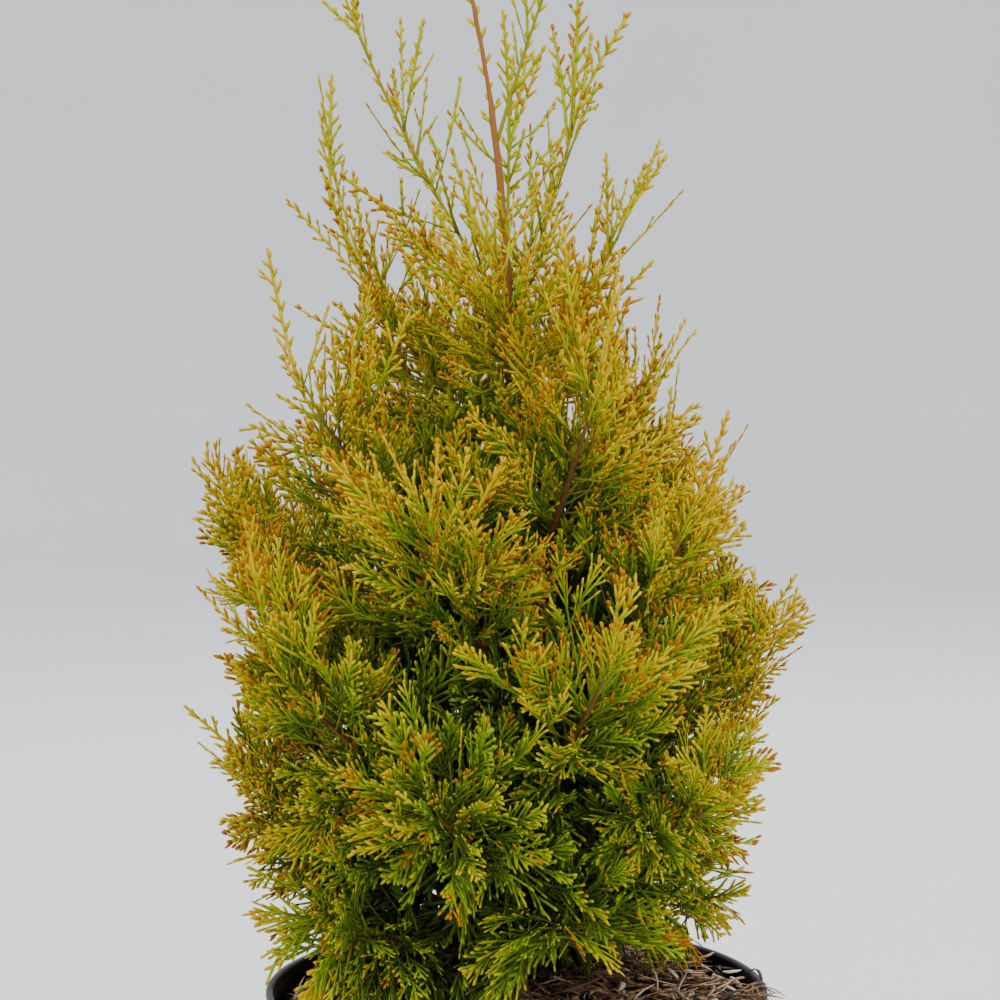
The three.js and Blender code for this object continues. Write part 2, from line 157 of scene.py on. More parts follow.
# The tones of the foliage, from the shaded inside to the sunny tips.
GREENS = (
    ("shade_green", (0.078, 0.122, 0.012)),
    ("deep_green", (0.094, 0.154, 0.011)),
    ("leaf_green", (0.118, 0.202, 0.010)),
    ("bright_green", (0.165, 0.262, 0.009)),
    ("fresh_green", (0.230, 0.318, 0.007)),
)
GOLDS = (
    ("lime_green", (0.290, 0.352, 0.005)),
    ("lime", (0.380, 0.402, 0.004)),
    ("pale_gold", (0.455, 0.420, 0.003)),
    ("gold", (0.515, 0.420, 0.002)),
    ("deep_gold", (0.560, 0.390, 0.001)),
    ("ochre_tips", (0.500, 0.255, 0.001)),
    ("amber_tips", (0.400, 0.160, 0.001)),
)
TONES = GREENS + GOLDS
OCHRE, AMBER = len(TONES) - 2, len(TONES) - 1
TONE_STEPS = (0.16, 0.28, 0.40, 0.51, 0.61, 0.71, 0.81, 0.91, 1.02)
MOST_SCALES = 9
YOUNG_BARK = (0.250, 0.098, 0.017)

# The floor turns up into a wall, in millimetres. The lights and the camera are in metres.
FLOOR = ((3400, 0), (3700, 30), (4000, 140), (4250, 340), (4420, 620), (4500, 1000), (4500, 3200))
LIGHTS = (
    ("key_light", (-0.9, -1.1, 2.7), 3.0, 56, (1.0, 0.96, 0.84)),
    ("fill_light", (1.7, -1.3, 1.7), 3.0, 38, (1.0, 0.97, 0.90)),
    ("back_light", (0.5, 1.9, 2.1), 1.4, 34, (1.0, 0.98, 0.94)),
)
LIT_POINT = (0, 0, 0.4)
SKY, SKY_STRENGTH = (0.88, 0.93, 1.0, 1), 2.0
CAMERA = SimpleNamespace(place=(-0.0076, -1.100, 0.481), tilt=85.95, sensor=36, lens=87.5)


def curve(value, points):
    return np.interp(value, *points)


def ramp(value, start, width):
    return np.clip((value - start) / width, 0, 1)


# Seeded draws, the same on every run: numbers from 0 up to 1.
def seeded_draws(seed):
    state = seed & 0xFFFFFFFF

    def draw():
        nonlocal state
        state = (state * 1664525 + 1013904223) & 0xFFFFFFFF
        return state / 4294967296

    draw()
    draw()
    return draw


def unit(v):
    return v / max(1e-9, math.sqrt(float(v @ v)))


def units(v):
    return v / np.linalg.norm(v, axis=-1, keepdims=True)


def cross(a, b):
    return np.array([a[1] * b[2] - a[2] * b[1], a[2] * b[0] - a[0] * b[2], a[0] * b[1] - a[1] * b[0]])


def turned(v, axis, angle):
    c, s = math.cos(angle), math.sin(angle)
    return v * c + cross(axis, v) * s + axis * float(axis @ v) * (1 - c)


# A way at an angle to another, towards the side.
def opened(way, side, angle):
    return way * math.cos(angle) + side * math.sin(angle)


def trunk_axis(height):
    t = height / TRUNK.height
    return -TRUNK.lean * t**5, TRUNK.sway * t * np.sin(2 * np.pi * t)


def trunk_point(height):
    return np.array([*trunk_axis(height), SOIL_TOP + height])


def trunk_radius(height):
    flare = TRUNK.flare * np.maximum(0, 1 - height / TRUNK.flare_height) ** 2
    return TRUNK.tip + (TRUNK.base - TRUNK.tip) * np.maximum(0, 1 - height / TRUNK.height) ** 1.1 + flare


# The limbs: where each leaves the trunk, how it bends and where its tip is.
class Limb:
    def __init__(self, name, azimuth, root, tip, reach, bare, seed, habit):
        turn = math.radians(azimuth)
        outward = np.array([math.cos(turn), math.sin(turn), 0.0])
        self.name, self.azimuth, self.bare, self.habit = name, azimuth, bare, habit
        self.foot = trunk_point(root)
        self.bend = self.foot + outward * reach * BEND_SHARE + UP * habit.bow
        self.end = outward * reach + UP * (SOIL_TOP + tip)
        self.across = np.array([-outward[1], outward[0], 0.0])
        self.draw = seeded_draws(seed)

    def point(self, t):
        return self.foot * (1 - t) ** 2 + self.bend * 2 * t * (1 - t) + self.end * t * t

    def tangent(self, t):
        return unit(self.point(min(1, t + 1e-4)) - self.point(max(0, t - 1e-4)))


def all_limbs():
    limbs = []
    for level, tier in enumerate(TIERS):
        for k in range(tier.count):
            azimuth = tier.first + k * tier.stride * 360 / tier.count
            draw = seeded_draws(SEEDS.reach * (level + 1) + k)
            reach = (tier.reach - tier.shift * math.cos(math.radians(azimuth))) * (0.96 + 0.08 * draw())
            tip = tier.tip + 16 * (draw() - 0.5)
            bare = BOUGH_SHARE if level < BARE_TIERS else 0
            name, root = f"{tier.name}_{k + 1}", tier.root + k * tier.climb
            seed = SEEDS.mass + 100 * level + k
            limbs.append(Limb(name, azimuth, root, tip, reach, bare, seed, tier))
    for seed, shoot in enumerate(TOP_SHOOTS, SEEDS.top):
        limbs.append(Limb(shoot.name, shoot.azimuth, shoot.root, shoot.tip, shoot.reach, 0, seed, shoot))
    return limbs


# What a spray may not leave or touch: the outline, the room of its mass, the trunk and the boughs.
class Surroundings:
    def __init__(self, limbs):
        self.index = {limb.name: k for k, limb in enumerate(limbs)}
        seeds, starts, ends = [], [], []
        for limb in limbs:
            first = max(limb.bare, 0.3)
            seeds.append([limb.point(first + (1 - first) * share) for share in (0, 0.33, 0.66, 1)])
            if limb.bare:
                path = [limb.point(limb.bare * share) for share in (0, 0.25, 0.5, 0.75, 1)]
                starts += path[:-1]
                ends += path[1:]
        self.seeds = np.array(seeds)
        self.starts = np.array(starts)
        self.spans = np.array(ends) - self.starts

    def inside_room(self, points, limb):
        gaps = np.linalg.norm(points[:, None, None] - self.seeds[None], axis=3).min(axis=2)
        own = gaps[:, self.index[limb.name]].copy()
        gaps[:, self.index[limb.name]] = 1e9
        return bool((gaps.min(axis=1) > own + NEIGHBOUR_MARGIN).all())

    def clear_of_limbs(self, points):
        height = points[:, 2] - SOIL_TOP
        x, y = trunk_axis(height)
        far = np.hypot(points[:, 0] - x, points[:, 1] - y)
        if ((far < trunk_radius(height) + LIMB_CLEARANCE) & (height < TRUNK.height)).any():
            return False
        to_start = points[:, None] - self.starts[None]
        share = (to_start * self.spans).sum(axis=2) / (self.spans**2).sum(axis=1)
        nearest = to_start - np.clip(share, 0, 1)[:, :, None] * self.spans
        return bool((np.linalg.norm(nearest, axis=2) > BOUGH_RADIUS[0] + LIMB_CLEARANCE).all())


# How far out the whole plant reaches at a height and azimuth, read between the tips of the rings.
def outline_reach(points):
    height, azimuth = points[:, 2] - SOIL_TOP, np.arctan2(points[:, 1], points[:, 0])
    tips = [ring.tip for ring in RINGS]
    reach = np.interp(height, tips, [ring.reach for ring in RINGS])
    return reach - np.interp(height, tips, [ring.shift for ring in RINGS]) * np.cos(azimuth)


def inside_outline(points):
    far, height = np.hypot(points[:, 0], points[:, 1]), points[:, 2] - SOIL_TOP
    over_rim = far > POT.shoulder + POT.step - POT.wall - 5
    low = (height < SOIL_CLEARANCE) | (over_rim & (height < RIM_DEPTH + 3.5))
    return bool((~low & (height < TRUNK.height) & (far < outline_reach(points))).all())


# A spray: a blade of foliage on its own piece of twig, bent up or down as it goes out.
class Spray:
    def __init__(self, limb, foot, along, twig, normal, length):
        self.limb, self.along, self.twig, self.normal, self.length = limb, along, twig, normal, length
        self.root = foot + along * twig
        self.side = unit(cross(normal, along))
        self.half = length * limb.habit.wide / 2

    def place(self, s, across=0):
        s, across = np.atleast_1d(s)[:, None], np.atleast_1d(across)[:, None]
        lift = BEND_OF_SPRAY * self.limb.habit.rise * s * np.abs(s) / self.length
        return self.root + self.along * s + UP * lift + self.side * across

    def heading(self, s):
        return unit(self.along + UP * 2 * BEND_OF_SPRAY * self.limb.habit.rise * abs(s) / self.length)

    def places(self):
        teeth = 3 if self.length > LONG_SPRAY else 2
        pitch = self.length / (teeth + 0.9)
        i = np.arange(teeth)
        spread = lambda k: self.half * np.sin(np.pi * (0.3 + 0.5 * (k + 0.6) / teeth))
        left = self.place((i + 1.1) * pitch, spread(i))
        right = self.place((i + 1.4) * pitch, -0.94 * spread(i + 0.3))
        valleys = self.place((i + 1) * pitch)
        middle = self.place(np.arange(6 - self.twig, self.length, 6))
        tip = self.place(self.length)
        return np.vstack([tip, left, right, middle, (left + valleys) / 2, (right + valleys) / 2])


def spray_plane(along, across, roll):
    level = cross(along, UP)
    normal = unit(level) if np.linalg.norm(level) > 0.35 else across
    normal = unit(normal - along * float(normal @ along))
    return turned(normal, along, roll)


def twig_direction(limb, t, turn, opening):
    ahead = limb.tangent(t)
    lifted = unit(cross(ahead, limb.across))
    if lifted[2] < 0:
        lifted = -lifted
    aside = turned(lifted, ahead, turn)
    return unit(opened(ahead, aside, opening) + UP * limb.habit.rise * 0.4)


def try_spray(mass, limb, around, foot, along, twig, size, roll):
    for shrink in (1, 0.78, 0.6):
        for turn in (0, 50, -50):
            normal = spray_plane(along, limb.across, roll + math.radians(turn))
            spray = Spray(limb, foot, along, twig, normal, size * shrink)
            places = spray.places()
            if twig and not inside_outline(places):
                continue
            if len(mass.taken):
                gaps = np.linalg.norm(places[:, None] - mass.taken[None], axis=2)
                if gaps.min() <= SPRAY_DISTANCE:
                    continue
            if around.inside_room(places, limb) and around.clear_of_limbs(places):
                mass.taken = np.vstack([mass.taken, places])
                mass.sprays.append(spray)
                return


# A mass grows from one stem, which ends in a spray, with twigs to either side in turn.
def grow_mass(limb, around):
    draw, habit, bare = limb.draw, limb.habit, limb.bare
    mass = SimpleNamespace(sprays=[], taken=np.zeros((0, 3)))
    stem_end = limb.point(STEM_SHARE)
    ahead = limb.point(1) - stem_end
    facing = 62 * abs(math.sin(math.radians(limb.azimuth)))
    tip_roll = math.radians(facing + 70 * (draw() - 0.5))
    try_spray(mass, limb, around, stem_end, unit(ahead), 0, np.linalg.norm(ahead), tip_roll)
    for k in range(TRIES):
        if len(mass.sprays) >= habit.sprays:
            break
        even = (k + (0.3 if bare else 1.3)) / (habit.sprays + (0 if bare else 1))
        share = even if k < habit.sprays else draw()
        t = bare + (STEM_SHARE - bare) * share
        turn = (1 if k % 2 else -1) * math.radians(85 + 110 * (draw() - 0.5))
        opening = math.radians(70 - 28 * share + 24 * (draw() - 0.5))
        along = twig_direction(limb, t, turn, opening)
        length = habit.size * (1 - 0.25 * share) * (0.85 + 0.25 * draw())
        twig = length * (0.08 + 0.42 * draw() ** 1.5)
        roll = math.radians(120 * (draw() - 0.5))
        try_spray(mass, limb, around, limb.point(t), along, twig, length, roll)
    return mass.sprays


# Where foliage already stands, counted in small cells, so that more grows where it is thin.
class Crowding:
    cell = 13.0

    def __init__(self):
        self.count = {}

    def keys(self, points):
        return [tuple(key) for key in np.floor(points / self.cell).astype(int).tolist()]

    def add(self, points):
        for key in self.keys(points):
            self.count[key] = self.count.get(key, 0) + 1.0

    def mean(self, points):
        return sum(self.count.get(key, 0) for key in self.keys(points)) / len(points)


# Smaller sprays between the large ones, down to the trunk, where the plant would be thin.
def grow_filling(limbs, sprays, rounds, most):
    crowding = Crowding()
    for spray in sprays:
        crowding.add(spray.places())
    filling = []
    for round_number in range(rounds):
        for number, limb in enumerate(limbs):
            draw = seeded_draws(SEEDS.gaps + 97 * round_number + number)
            for _ in range(TRIES_EACH_ROUND):
                share = draw()
                t = 0.08 + 0.8 * share
                opening = math.radians(72 - 30 * share + 30 * (draw() - 0.5))
                along = twig_direction(limb, t, math.radians(360 * draw()), opening)
                size = limb.habit.size * (0.5 + 0.3 * draw())
                twig = size * (0.05 + 0.85 * draw())
                normal = spray_plane(along, limb.across, math.radians(180 * (draw() - 0.5)))
                spray = Spray(limb, limb.point(t), along, twig, normal, size)
                places = spray.places()
                top = places[:, 2].max() - SOIL_TOP
                far = np.hypot(places[:, 0], places[:, 1]).mean() / outline_reach(places).mean()
                limit = most * curve(top, FILLING_BY_HEIGHT) * curve(far, FILLING_BY_REACH)
                crowded = crowding.mean(places) > limit
                if not inside_outline(places) or crowded or (openness(spray) > 0.4 and draw() < 0.75):
                    continue
                crowding.add(places)
                filling.append(spray)
    return filling


# The fine growth: shoots as rows of numbers, and twigs as paths.
class Growth:
    columns = "roots ways normals bends lengths widths lucks tip_lucks ages tipped masses".split()

    def __init__(self):
        self.rows, self.twigs = [], []

    def shoot(self, *row):
        self.rows.append(row)

    def arrays(self):
        return {name: np.array(column) for name, column in zip(self.columns, zip(*self.rows))}


# A frond: a flat axis with shoots close together on either side, the longer ones forked once more.
def grow_frond(growth, foot, ahead, normal, length, wide, lift, luck, mass, draw, pitch, bare, wild):
    normal = unit(normal - ahead * float(normal @ ahead))
    side = cross(normal, ahead)
    curl = side * (draw() - 0.5) * 0.16 * length + lift
    at = lambda s: foot + ahead * s + curl * (s / length) ** 2
    heading = lambda s: unit(ahead + curl * (2 * s / length**2))
    half = length * 0.55
    tip_luck = draw()
    broad = AXIS_WIDTH * (1 + 0.16 * wild)
    growth.shoot(foot, ahead, normal, curl * 0.3, half, broad, luck, tip_luck, 0.0, False, mass)
    rest = length - half
    growth.shoot(at(half), heading(half), normal, curl * 0.2, rest, broad, luck, tip_luck, 0.8, True, mass)
    count = max(3, int(length * (FROND_END - bare) / pitch))
    hand = 1 if draw() < 0.5 else -1
    for i in range(count):
        share = bare + (FROND_END - bare) * (i + 0.5 + 0.3 * (draw() - 0.5)) / count
        hand = -hand
        s = share * length
        way = heading(s)
        opening = math.radians(30 + 9 * wild - 9 * share + 17 * (draw() - 0.5))
        span = wide * curve(share, SIDE_SHOOT_SPAN) * (0.62 + 0.66 * draw())
        if draw() < 0.25 * wild:
            span *= 1.7
        out_of_plane = normal * (0.42 * (draw() - 0.5) - 0.06)
        aside = unit(opened(way, side * hand, opening) + out_of_plane)
        face = unit(normal - aside * float(normal @ aside) + side * 0.6 * (draw() - 0.5))
        bend = way * (0.05 + 0.16 * draw()) * span + lift * 0.3 * (span / length) + side * hand * 0.05 * span
        age = 0.4 + 0.55 * share
        growth.shoot(at(s), aside, face, bend, span, SIDE_WIDTH, luck, tip_luck, age, True, mass)
        if span > 12 - 3 * wild and draw() < 0.72:
            forks = 2 if span > 19 - 6 * wild else 1
            for k in range(forks):
                u = (0.45 if forks == 1 else 0.36 + 0.26 * k) * span
                outer = hand if k % 2 == 0 else -hand
                fork_open = math.radians(31 + 8 * (draw() - 0.5))
                lane = unit(aside + bend * (2 * u / span**2))
                fork = unit(opened(lane, cross(face, lane) * outer, fork_open))
                root = at(s) + aside * u + bend * (u / span) ** 2
                reach = (span - u) * (0.62 + 0.2 * draw())
                growth.shoot(root, fork, face, way * 0.4, reach, FORK_WIDTH, luck, tip_luck, 0.8, True, mass)


# How open a spray grows: 0 in the dense body, 1 in the bare shoots of the top and its sides.
def openness(spray):
    tip = spray.place(spray.length)
    height = (tip[0, 2] - SOIL_TOP) / TRUNK.height
    outward = np.hypot(tip[0, 0], tip[0, 1]) / max(20, outline_reach(tip)[0])
    side = ramp(height, 0.46, 0.2) * ramp(outward, 0.62, 0.25)
    return float(max(side, ramp(height, 0.70, 0.10)))


# Shoots turn up to the light, least at the top, and down near the compost.
def lifted(way, foot, share):
    pull = share * float(curve(foot[2] - SOIL_TOP, PULL_BY_HEIGHT))
    return unit(way + UP * pull * (1 - 0.6 * way[2]))


# The least height over the compost that a frond's tip may have.
def lowest(tip):
    azimuth = math.degrees(math.atan2(tip[1], tip[0]))
    gap = float(np.clip((MULCH_GAP.half - abs(azimuth - MULCH_GAP.azimuth)) / MULCH_GAP.edge, 0, 1))
    return MULCH_GAP.least + MULCH_GAP.more * gap * min(1, math.hypot(tip[0], tip[1]) / MULCH_GAP.reach)


def too_low(tip):
    return tip[2] - SOIL_TOP < lowest(tip)


# The leader and the foot of its fork stand bare against the sky, seen from the front.
def by_leader(foot, ahead, size):
    place = foot + ahead * size * 0.75
    height = place[2] - SOIL_TOP
    return height > BARE_LEADER and abs(place[0] - trunk_axis(min(height, TRUNK.height))[0]) < LEADER_ROOM


# A spray of the rule, carried on to its fronds: a long one up its middle and some to either side.
def dress_spray(growth, spray, draw, frond_step, shoot_step, coarse):
    length, mass, rise = spray.length, spray.limb.name, spray.limb.habit.rise
    if by_leader(spray.root, spray.along, length):
        return
    wild = openness(spray)
    tip = spray.place(length)[0]
    from_trunk = math.hypot(tip[0] - trunk_axis(BARE_LEADER)[0], tip[1])
    inside = tip[2] - SOIL_TOP > BARE_LEADER and from_trunk < 30
    coarse *= THINNED.get(mass, THINNED_INSIDE if inside else 1)
    pitch = shoot_step * coarse * (1 + 0.7 * wild)
    spray_luck = draw()
    first, last = -0.5 * spray.twig, 0.42 * length
    path = spray.place(np.linspace(-spray.twig, 0.3 * length, 4))
    if path[-1][2] - SOIL_TOP > lowest(path[-1]):
        growth.twigs.append((path, np.linspace(0.8, 0.5, 4), mass))
    count = round((last - first) / (frond_step * coarse * (1 + 0.8 * wild)))
    count = max(0 if coarse > SPARSE else 2 - round(wild), count)
    hand = 1 if draw() < 0.5 else -1
    for k in range(count):
        share = (k + 0.4 * draw()) / count
        s = first + (last - first) * share
        hand = -hand
        opening = math.radians(42 - 12 * share + 14 * (draw() - 0.5))
        size = LONGEST_FROND
        while size > 14:
            end, aside = s + size * math.cos(opening), size * math.sin(opening)
            if aside <= spray.half * curve(end / length, HALF_SPRAY) and end <= 0.96 * length:
                break
            size -= 2
        size *= 0.9 + 0.28 * draw()
        way = spray.heading(s)
        ahead = unit(opened(way, spray.side * hand, opening) + spray.normal * 1.4 * (draw() - 0.5))
        foot = spray.place(s)[0]
        if foot[2] - SOIL_TOP < lowest(foot) - 16:
            continue
        ahead = lifted(ahead, foot, 0.7 + 0.6 * draw())
        if draw() < 0.45:
            normal = spray_plane(ahead, spray.side, math.radians(60 * (draw() - 0.5)))
        else:
            normal = turned(spray.normal, way, math.radians(120 * (draw() - 0.5)))
        droop = float(curve(foot[2] - SOIL_TOP, DROOP_BY_HEIGHT))
        lift = UP * size * (0.05 + 0.1 * rise + 0.12 * (draw() - 0.5) - droop)
        luck = 0.48 * spray_luck + 0.52 * draw()
        while size > SHORTEST_FROND and too_low(foot + ahead * size + lift):
            size, lift = size - 3, lift * (1 - 3 / size)
        if size <= SHORTEST_FROND or by_leader(foot, ahead, size):
            continue
        wide = (0.45 - 0.36 * wild) * size + 1.2
        grow_frond(growth, foot, ahead, normal, size, wide, lift, luck, mass, draw, pitch, 0.1, wild)
    start = 0.1 * length
    way = spray.heading(start)
    luck = 0.6 * spray_luck + 0.4 * draw()
    size = length - start
    foot = spray.place(start)[0]
    lift = tip - foot - way * size
    way = lifted(way, foot, 0.5)
    if too_low(foot + way * size + lift) or by_leader(foot, way, size):
        return
    size *= 1.0 + 0.06 * draw()
    wide = (0.34 - 0.26 * wild) * size + 1.2
    grow_frond(growth, foot, way, spray.normal, size, wide, lift, luck, mass, draw, pitch, 0.16, wild)


# Short shoots along a bare young stem, to either side in turn.
def dress_stem(growth, point, start, stop, pitch, size, mass, draw):
    path = [point(t) for t in np.linspace(start, stop, 60)]
    gone = np.concatenate([[0], np.cumsum([np.linalg.norm(b - a) for a, b in zip(path, path[1:])])])
    luck, tip_luck, roll, hand = 0.4 + 0.4 * draw(), draw(), math.radians(180 * draw()), 1
    for s in np.arange(0.5 * pitch, gone[-1], pitch):
        k = min(58, int(np.searchsorted(gone, s)) - 1)
        way = unit(path[k + 1] - path[k])
        foot = path[k] + way * (s - gone[k])
        normal = spray_plane(way, np.array([1.0, 0, 0]), roll)
        hand = -hand
        opening = math.radians(30 + 14 * draw())
        aside = unit(opened(way, cross(normal, way) * hand, opening))
        length = size * (0.55 + 0.9 * draw()) * (1.15 - 0.5 * s / gone[-1])
        bend = way * 0.15 * length
        growth.shoot(foot, aside, normal, bend, length, STEM_SHOOT_WIDTH, luck, tip_luck, 0.7, True, mass)
        if length > 7:
            root, reach = foot + aside * length * 0.45, length * 0.45
            fork = unit(aside * 0.85 + cross(normal, way) * hand * 0.52)
            growth.shoot(root, fork, normal, way * 0.3, reach, AXIS_WIDTH, luck, tip_luck, 0.8, True, mass)


def within_reach(tip):
    in_box = abs(tip[0] + 8) < 140 and abs(tip[1]) < 130 and tip[2] < SOIL_TOP + TRUNK.height - 5
    return in_box and math.hypot(tip[0], tip[1]) < outline_reach(tip[None])[0] + 15


# Long slim shoots with short side shoots, which stand out of the body of a mass.
def grow_long_shoots(growth, limb, draw):
    for _ in range(LONG_SHOOTS):
        t = 0.55 + 0.35 * draw()
        turn = math.radians(360 * draw())
        ahead = unit(twig_direction(limb, t, turn, math.radians(18 + 22 * draw())) + UP * 0.3)
        foot = limb.point(t)
        size = 46 + 30 * draw()
        while size > 20 and not within_reach(foot + ahead * size):
            size -= 4
        normal = spray_plane(ahead, limb.across, math.radians(180 * draw()))
        luck, lift = 0.5 + 0.5 * draw(), UP * size * 0.1 * (draw() - 0.2)
        wide = 0.10 * size + 2.0
        if not by_leader(foot, ahead, size):
            grow_frond(
                growth, foot, ahead, normal, size, wide, lift, luck, limb.name, draw,
                LONG_SHOOT_PITCH, LONG_SHOOT_BARE, 1.0,
            )


@functools.lru_cache(maxsize=1)
def grow_plant(frond_step, shoot_step, filling_rounds, crowding):
    limbs = all_limbs()
    around = Surroundings(limbs)
    sprays = [spray for limb in limbs for spray in grow_mass(limb, around)]
    filling = grow_filling(limbs, sprays, filling_rounds, crowding)
    growth = Growth()
    for group, first, coarse in ((sprays, SEEDS.sprays, 1.0), (filling, SEEDS.filling, THINNED_FILLING)):
        for seed, spray in enumerate(group, first):
            dress_spray(growth, spray, seeded_draws(seed), frond_step, shoot_step, coarse)
    for number, limb in enumerate(limbs):
        thick = STEM_RADIUS if limb.bare else YOUNG_STEM_RADIUS
        steps = np.linspace(max(0.02, limb.bare * 0.98), STEM_SHARE + 0.06, 14)
        path = np.array([limb.point(t) for t in steps])
        growth.twigs.append((path, np.linspace(thick, 0.6, 14), limb.name))
        if limb.habit.tip > 100:
            grow_long_shoots(growth, limb, seeded_draws(SEEDS.long_shoots + number))
        if not limb.bare:
            draw = seeded_draws(SEEDS.stems + number)
            dress_stem(growth, limb.point, 0.25, STEM_SHARE, 4.4, 8, limb.name, draw)
    draw = seeded_draws(SEEDS.leader)
    dress_stem(growth, trunk_point, LEADER_DRESSED, TRUNK.height - 1, 5.5, 5, "fork_shoot", draw)
    return limbs, growth.twigs, growth.arrays()


def plant():
    settings = bpy.context.scene.thuja_foliage
    return grow_plant(settings.frond_step, settings.shoot_step, settings.filling_rounds, settings.crowding)


# Meshes from arrays
def mesh_object(name, vertices, quads, triangles):
    mesh = bpy.data.meshes.new(name)
    vertices = np.asarray(vertices, dtype=np.float32) * MM
    corners = np.concatenate([quads.ravel(), triangles.ravel()]).astype(np.int32)
    starts = np.concatenate([4 * np.arange(len(quads)), 4 * len(quads) + 3 * np.arange(len(triangles))])
    mesh.vertices.add(len(vertices))
    mesh.vertices.foreach_set("co", vertices.ravel())
    mesh.loops.add(len(corners))
    mesh.loops.foreach_set("vertex_index", corners)
    mesh.polygons.add(len(starts))
    mesh.polygons.foreach_set("loop_start", starts.astype(np.int32))
    mesh.polygons.foreach_set("use_smooth", np.ones(len(starts), dtype=bool))
    mesh.update(calc_edges=True)
    piece = bpy.data.objects.new(name, mesh)
    bpy.context.scene.collection.objects.link(piece)
    return piece


# Closed tubes, one a row, of rings with a centre, side, normal, half width and half depth each.
def tubes(centres, sides, normals, half_widths, half_depths, corners=4):
    m, n = centres.shape[:2]
    turns = np.pi * np.arange(corners) / 2 if corners < 5 else 2 * np.pi * np.arange(corners) / corners
    across = np.cos(turns)[None, None, :, None] * (sides * half_widths[..., None])[:, :, None]
    above = np.sin(turns)[None, None, :, None] * (normals * half_depths[..., None])[:, :, None]
    vertices = (centres[:, :, None] + across + above).reshape(-1, 3)
    ring = np.arange(corners)
    following = (ring + 1) % corners
    base = (np.arange(m)[:, None] * n + np.arange(n - 1)[None]).reshape(-1, 1) * corners
    here, beside = base + ring, base + following
    quads = np.stack([here, beside, beside + corners, here + corners], axis=2)
    middle = np.arange(1, corners - 1)
    fan = np.stack([0 * middle, middle, middle + 1], axis=1)
    starts = (np.arange(m) * n * corners)[:, None, None]
    first_caps, last_caps = starts + fan[None, :, ::-1], starts + (n - 1) * corners + fan[None]
    triangles = np.concatenate([first_caps.reshape(-1, 3), last_caps.reshape(-1, 3)])
    return vertices, quads.reshape(-1, 4), triangles


class Batch:
    """Many closed tubes that become one piece, and the nodes that it replaces."""

    def __init__(self):
        self.parts, self.size, self.nodes = [], 0, set()

    def add(self, shape, masses=()):
        vertices, quads, triangles = shape
        self.parts.append((vertices, quads + self.size, triangles + self.size))
        self.size += len(vertices)
        self.nodes.update(f"foliage_{mass}" for mass in masses)

    def finish(self, name, material, slot, nodes=None):
        piece = mesh_object(name, *(np.vstack(part) for part in zip(*self.parts)))
        finish_piece(piece, name, material, slot, nodes or sorted(self.nodes))


# The rings of one kind of shoot: how far along each stands, and how wide it is, both in shares.
def scale_rings(scales, tip_share):
    along, width = [0.0], [0.72]
    for i in range(scales):
        start, stop = tip_share * i / scales, tip_share * (i + 1) / scales
        along += [start + 0.66 * (stop - start), stop]
        width += [1.0, 0.76]
    return along, width


def shoot_tubes(g, pick, along, width):
    along, width = np.array(along), np.array(width)
    s = along[None, :, None]
    root, way, bend = g.roots[pick][:, None], g.ways[pick][:, None], g.bends[pick][:, None]
    length, broad = g.lengths[pick][:, None], g.widths[pick][:, None]
    centres = root + way * (s * length[..., None]) + bend * s * s
    ahead = units(way * length[..., None] + 2 * bend * s)
    side = units(np.cross(np.broadcast_to(g.normals[pick][:, None], ahead.shape), ahead))
    normal = np.cross(ahead, side)
    half = 0.5 * broad * width[None] * (1 - 0.12 * along[None])
    return tubes(centres - normal * (0.3 * half)[..., None], side, normal, half, half * 0.85, 3)


# Finishes
class Signal:
    """A shader socket that takes part in Python expressions."""

    def __init__(self, finish, socket):
        self.finish, self.socket = finish, socket

    def _math(self, operation, *values):
        return self.finish.node("ShaderNodeMath", {"operation": operation}, dict(enumerate(values)))

    def __add__(self, other):
        return self._math("ADD", self, other)

    def __sub__(self, other):
        return self._math("SUBTRACT", self, other)

    def __rsub__(self, other):
        return self._math("SUBTRACT", other, self)

    def __mul__(self, other):
        return self._math("MULTIPLY", self, other)

    __radd__, __rmul__ = __add__, __mul__


class Finish:
    """A material with a Principled shader; node() adds any other node and gives its output."""

    def __init__(self, name, **constants):
        self.material = bpy.data.materials.new(name)
        self.material.use_nodes = True
        self.tree = self.material.node_tree
        self.shader = self.tree.nodes["Principled BSDF"]
        for socket, value in constants.items():
            self.shader.inputs[socket.replace("_", " ")].default_value = value

    def node(self, kind, settings=None, inputs=None, output=0):
        node = self.tree.nodes.new(kind)
        for name, value in (settings or {}).items():
            setattr(node, name, value)
        for name, value in (inputs or {}).items():
            if isinstance(value, Signal):
                self.tree.links.new(value.socket, node.inputs[name])
            else:
                node.inputs[name].default_value = value
        return Signal(self, node.outputs[output])

    def place(self, scale=(1, 1, 1)):
        coordinates = self.node("ShaderNodeTexCoord", output="Object")
        return self.node("ShaderNodeMapping", inputs={"Vector": coordinates, "Scale": scale})

    def height(self):
        return self.node("ShaderNodeSeparateXYZ", inputs={0: self.place()}, output=2)

    def noise(self, size, detail=3.0, roughness=0.55, stretch=(1, 1, 1)):
        inputs = {"Vector": self.place(stretch), "Scale": 1 / size, "Detail": detail, "Roughness": roughness}
        return self.node("ShaderNodeTexNoise", inputs=inputs)

    def between(self, value, low, high):
        settings = {"interpolation_type": "SMOOTHSTEP"}
        return self.node("ShaderNodeMapRange", settings, {"Value": value, "From Min": low, "From Max": high})

    def mix(self, share, *colours):
        first, second = (colour if isinstance(colour, Signal) else (*colour, 1) for colour in colours)
        return self.node("ShaderNodeMix", {"data_type": "RGBA"}, {0: share, 6: first, 7: second}, output=2)

    def set(self, socket, signal):
        self.tree.links.new(signal.socket, self.shader.inputs[socket])

    def bump(self, height, strength, distance):
        inputs = {"Height": height, "Strength": strength, "Distance": distance}
        self.set("Normal", self.node("ShaderNodeBump", inputs=inputs))


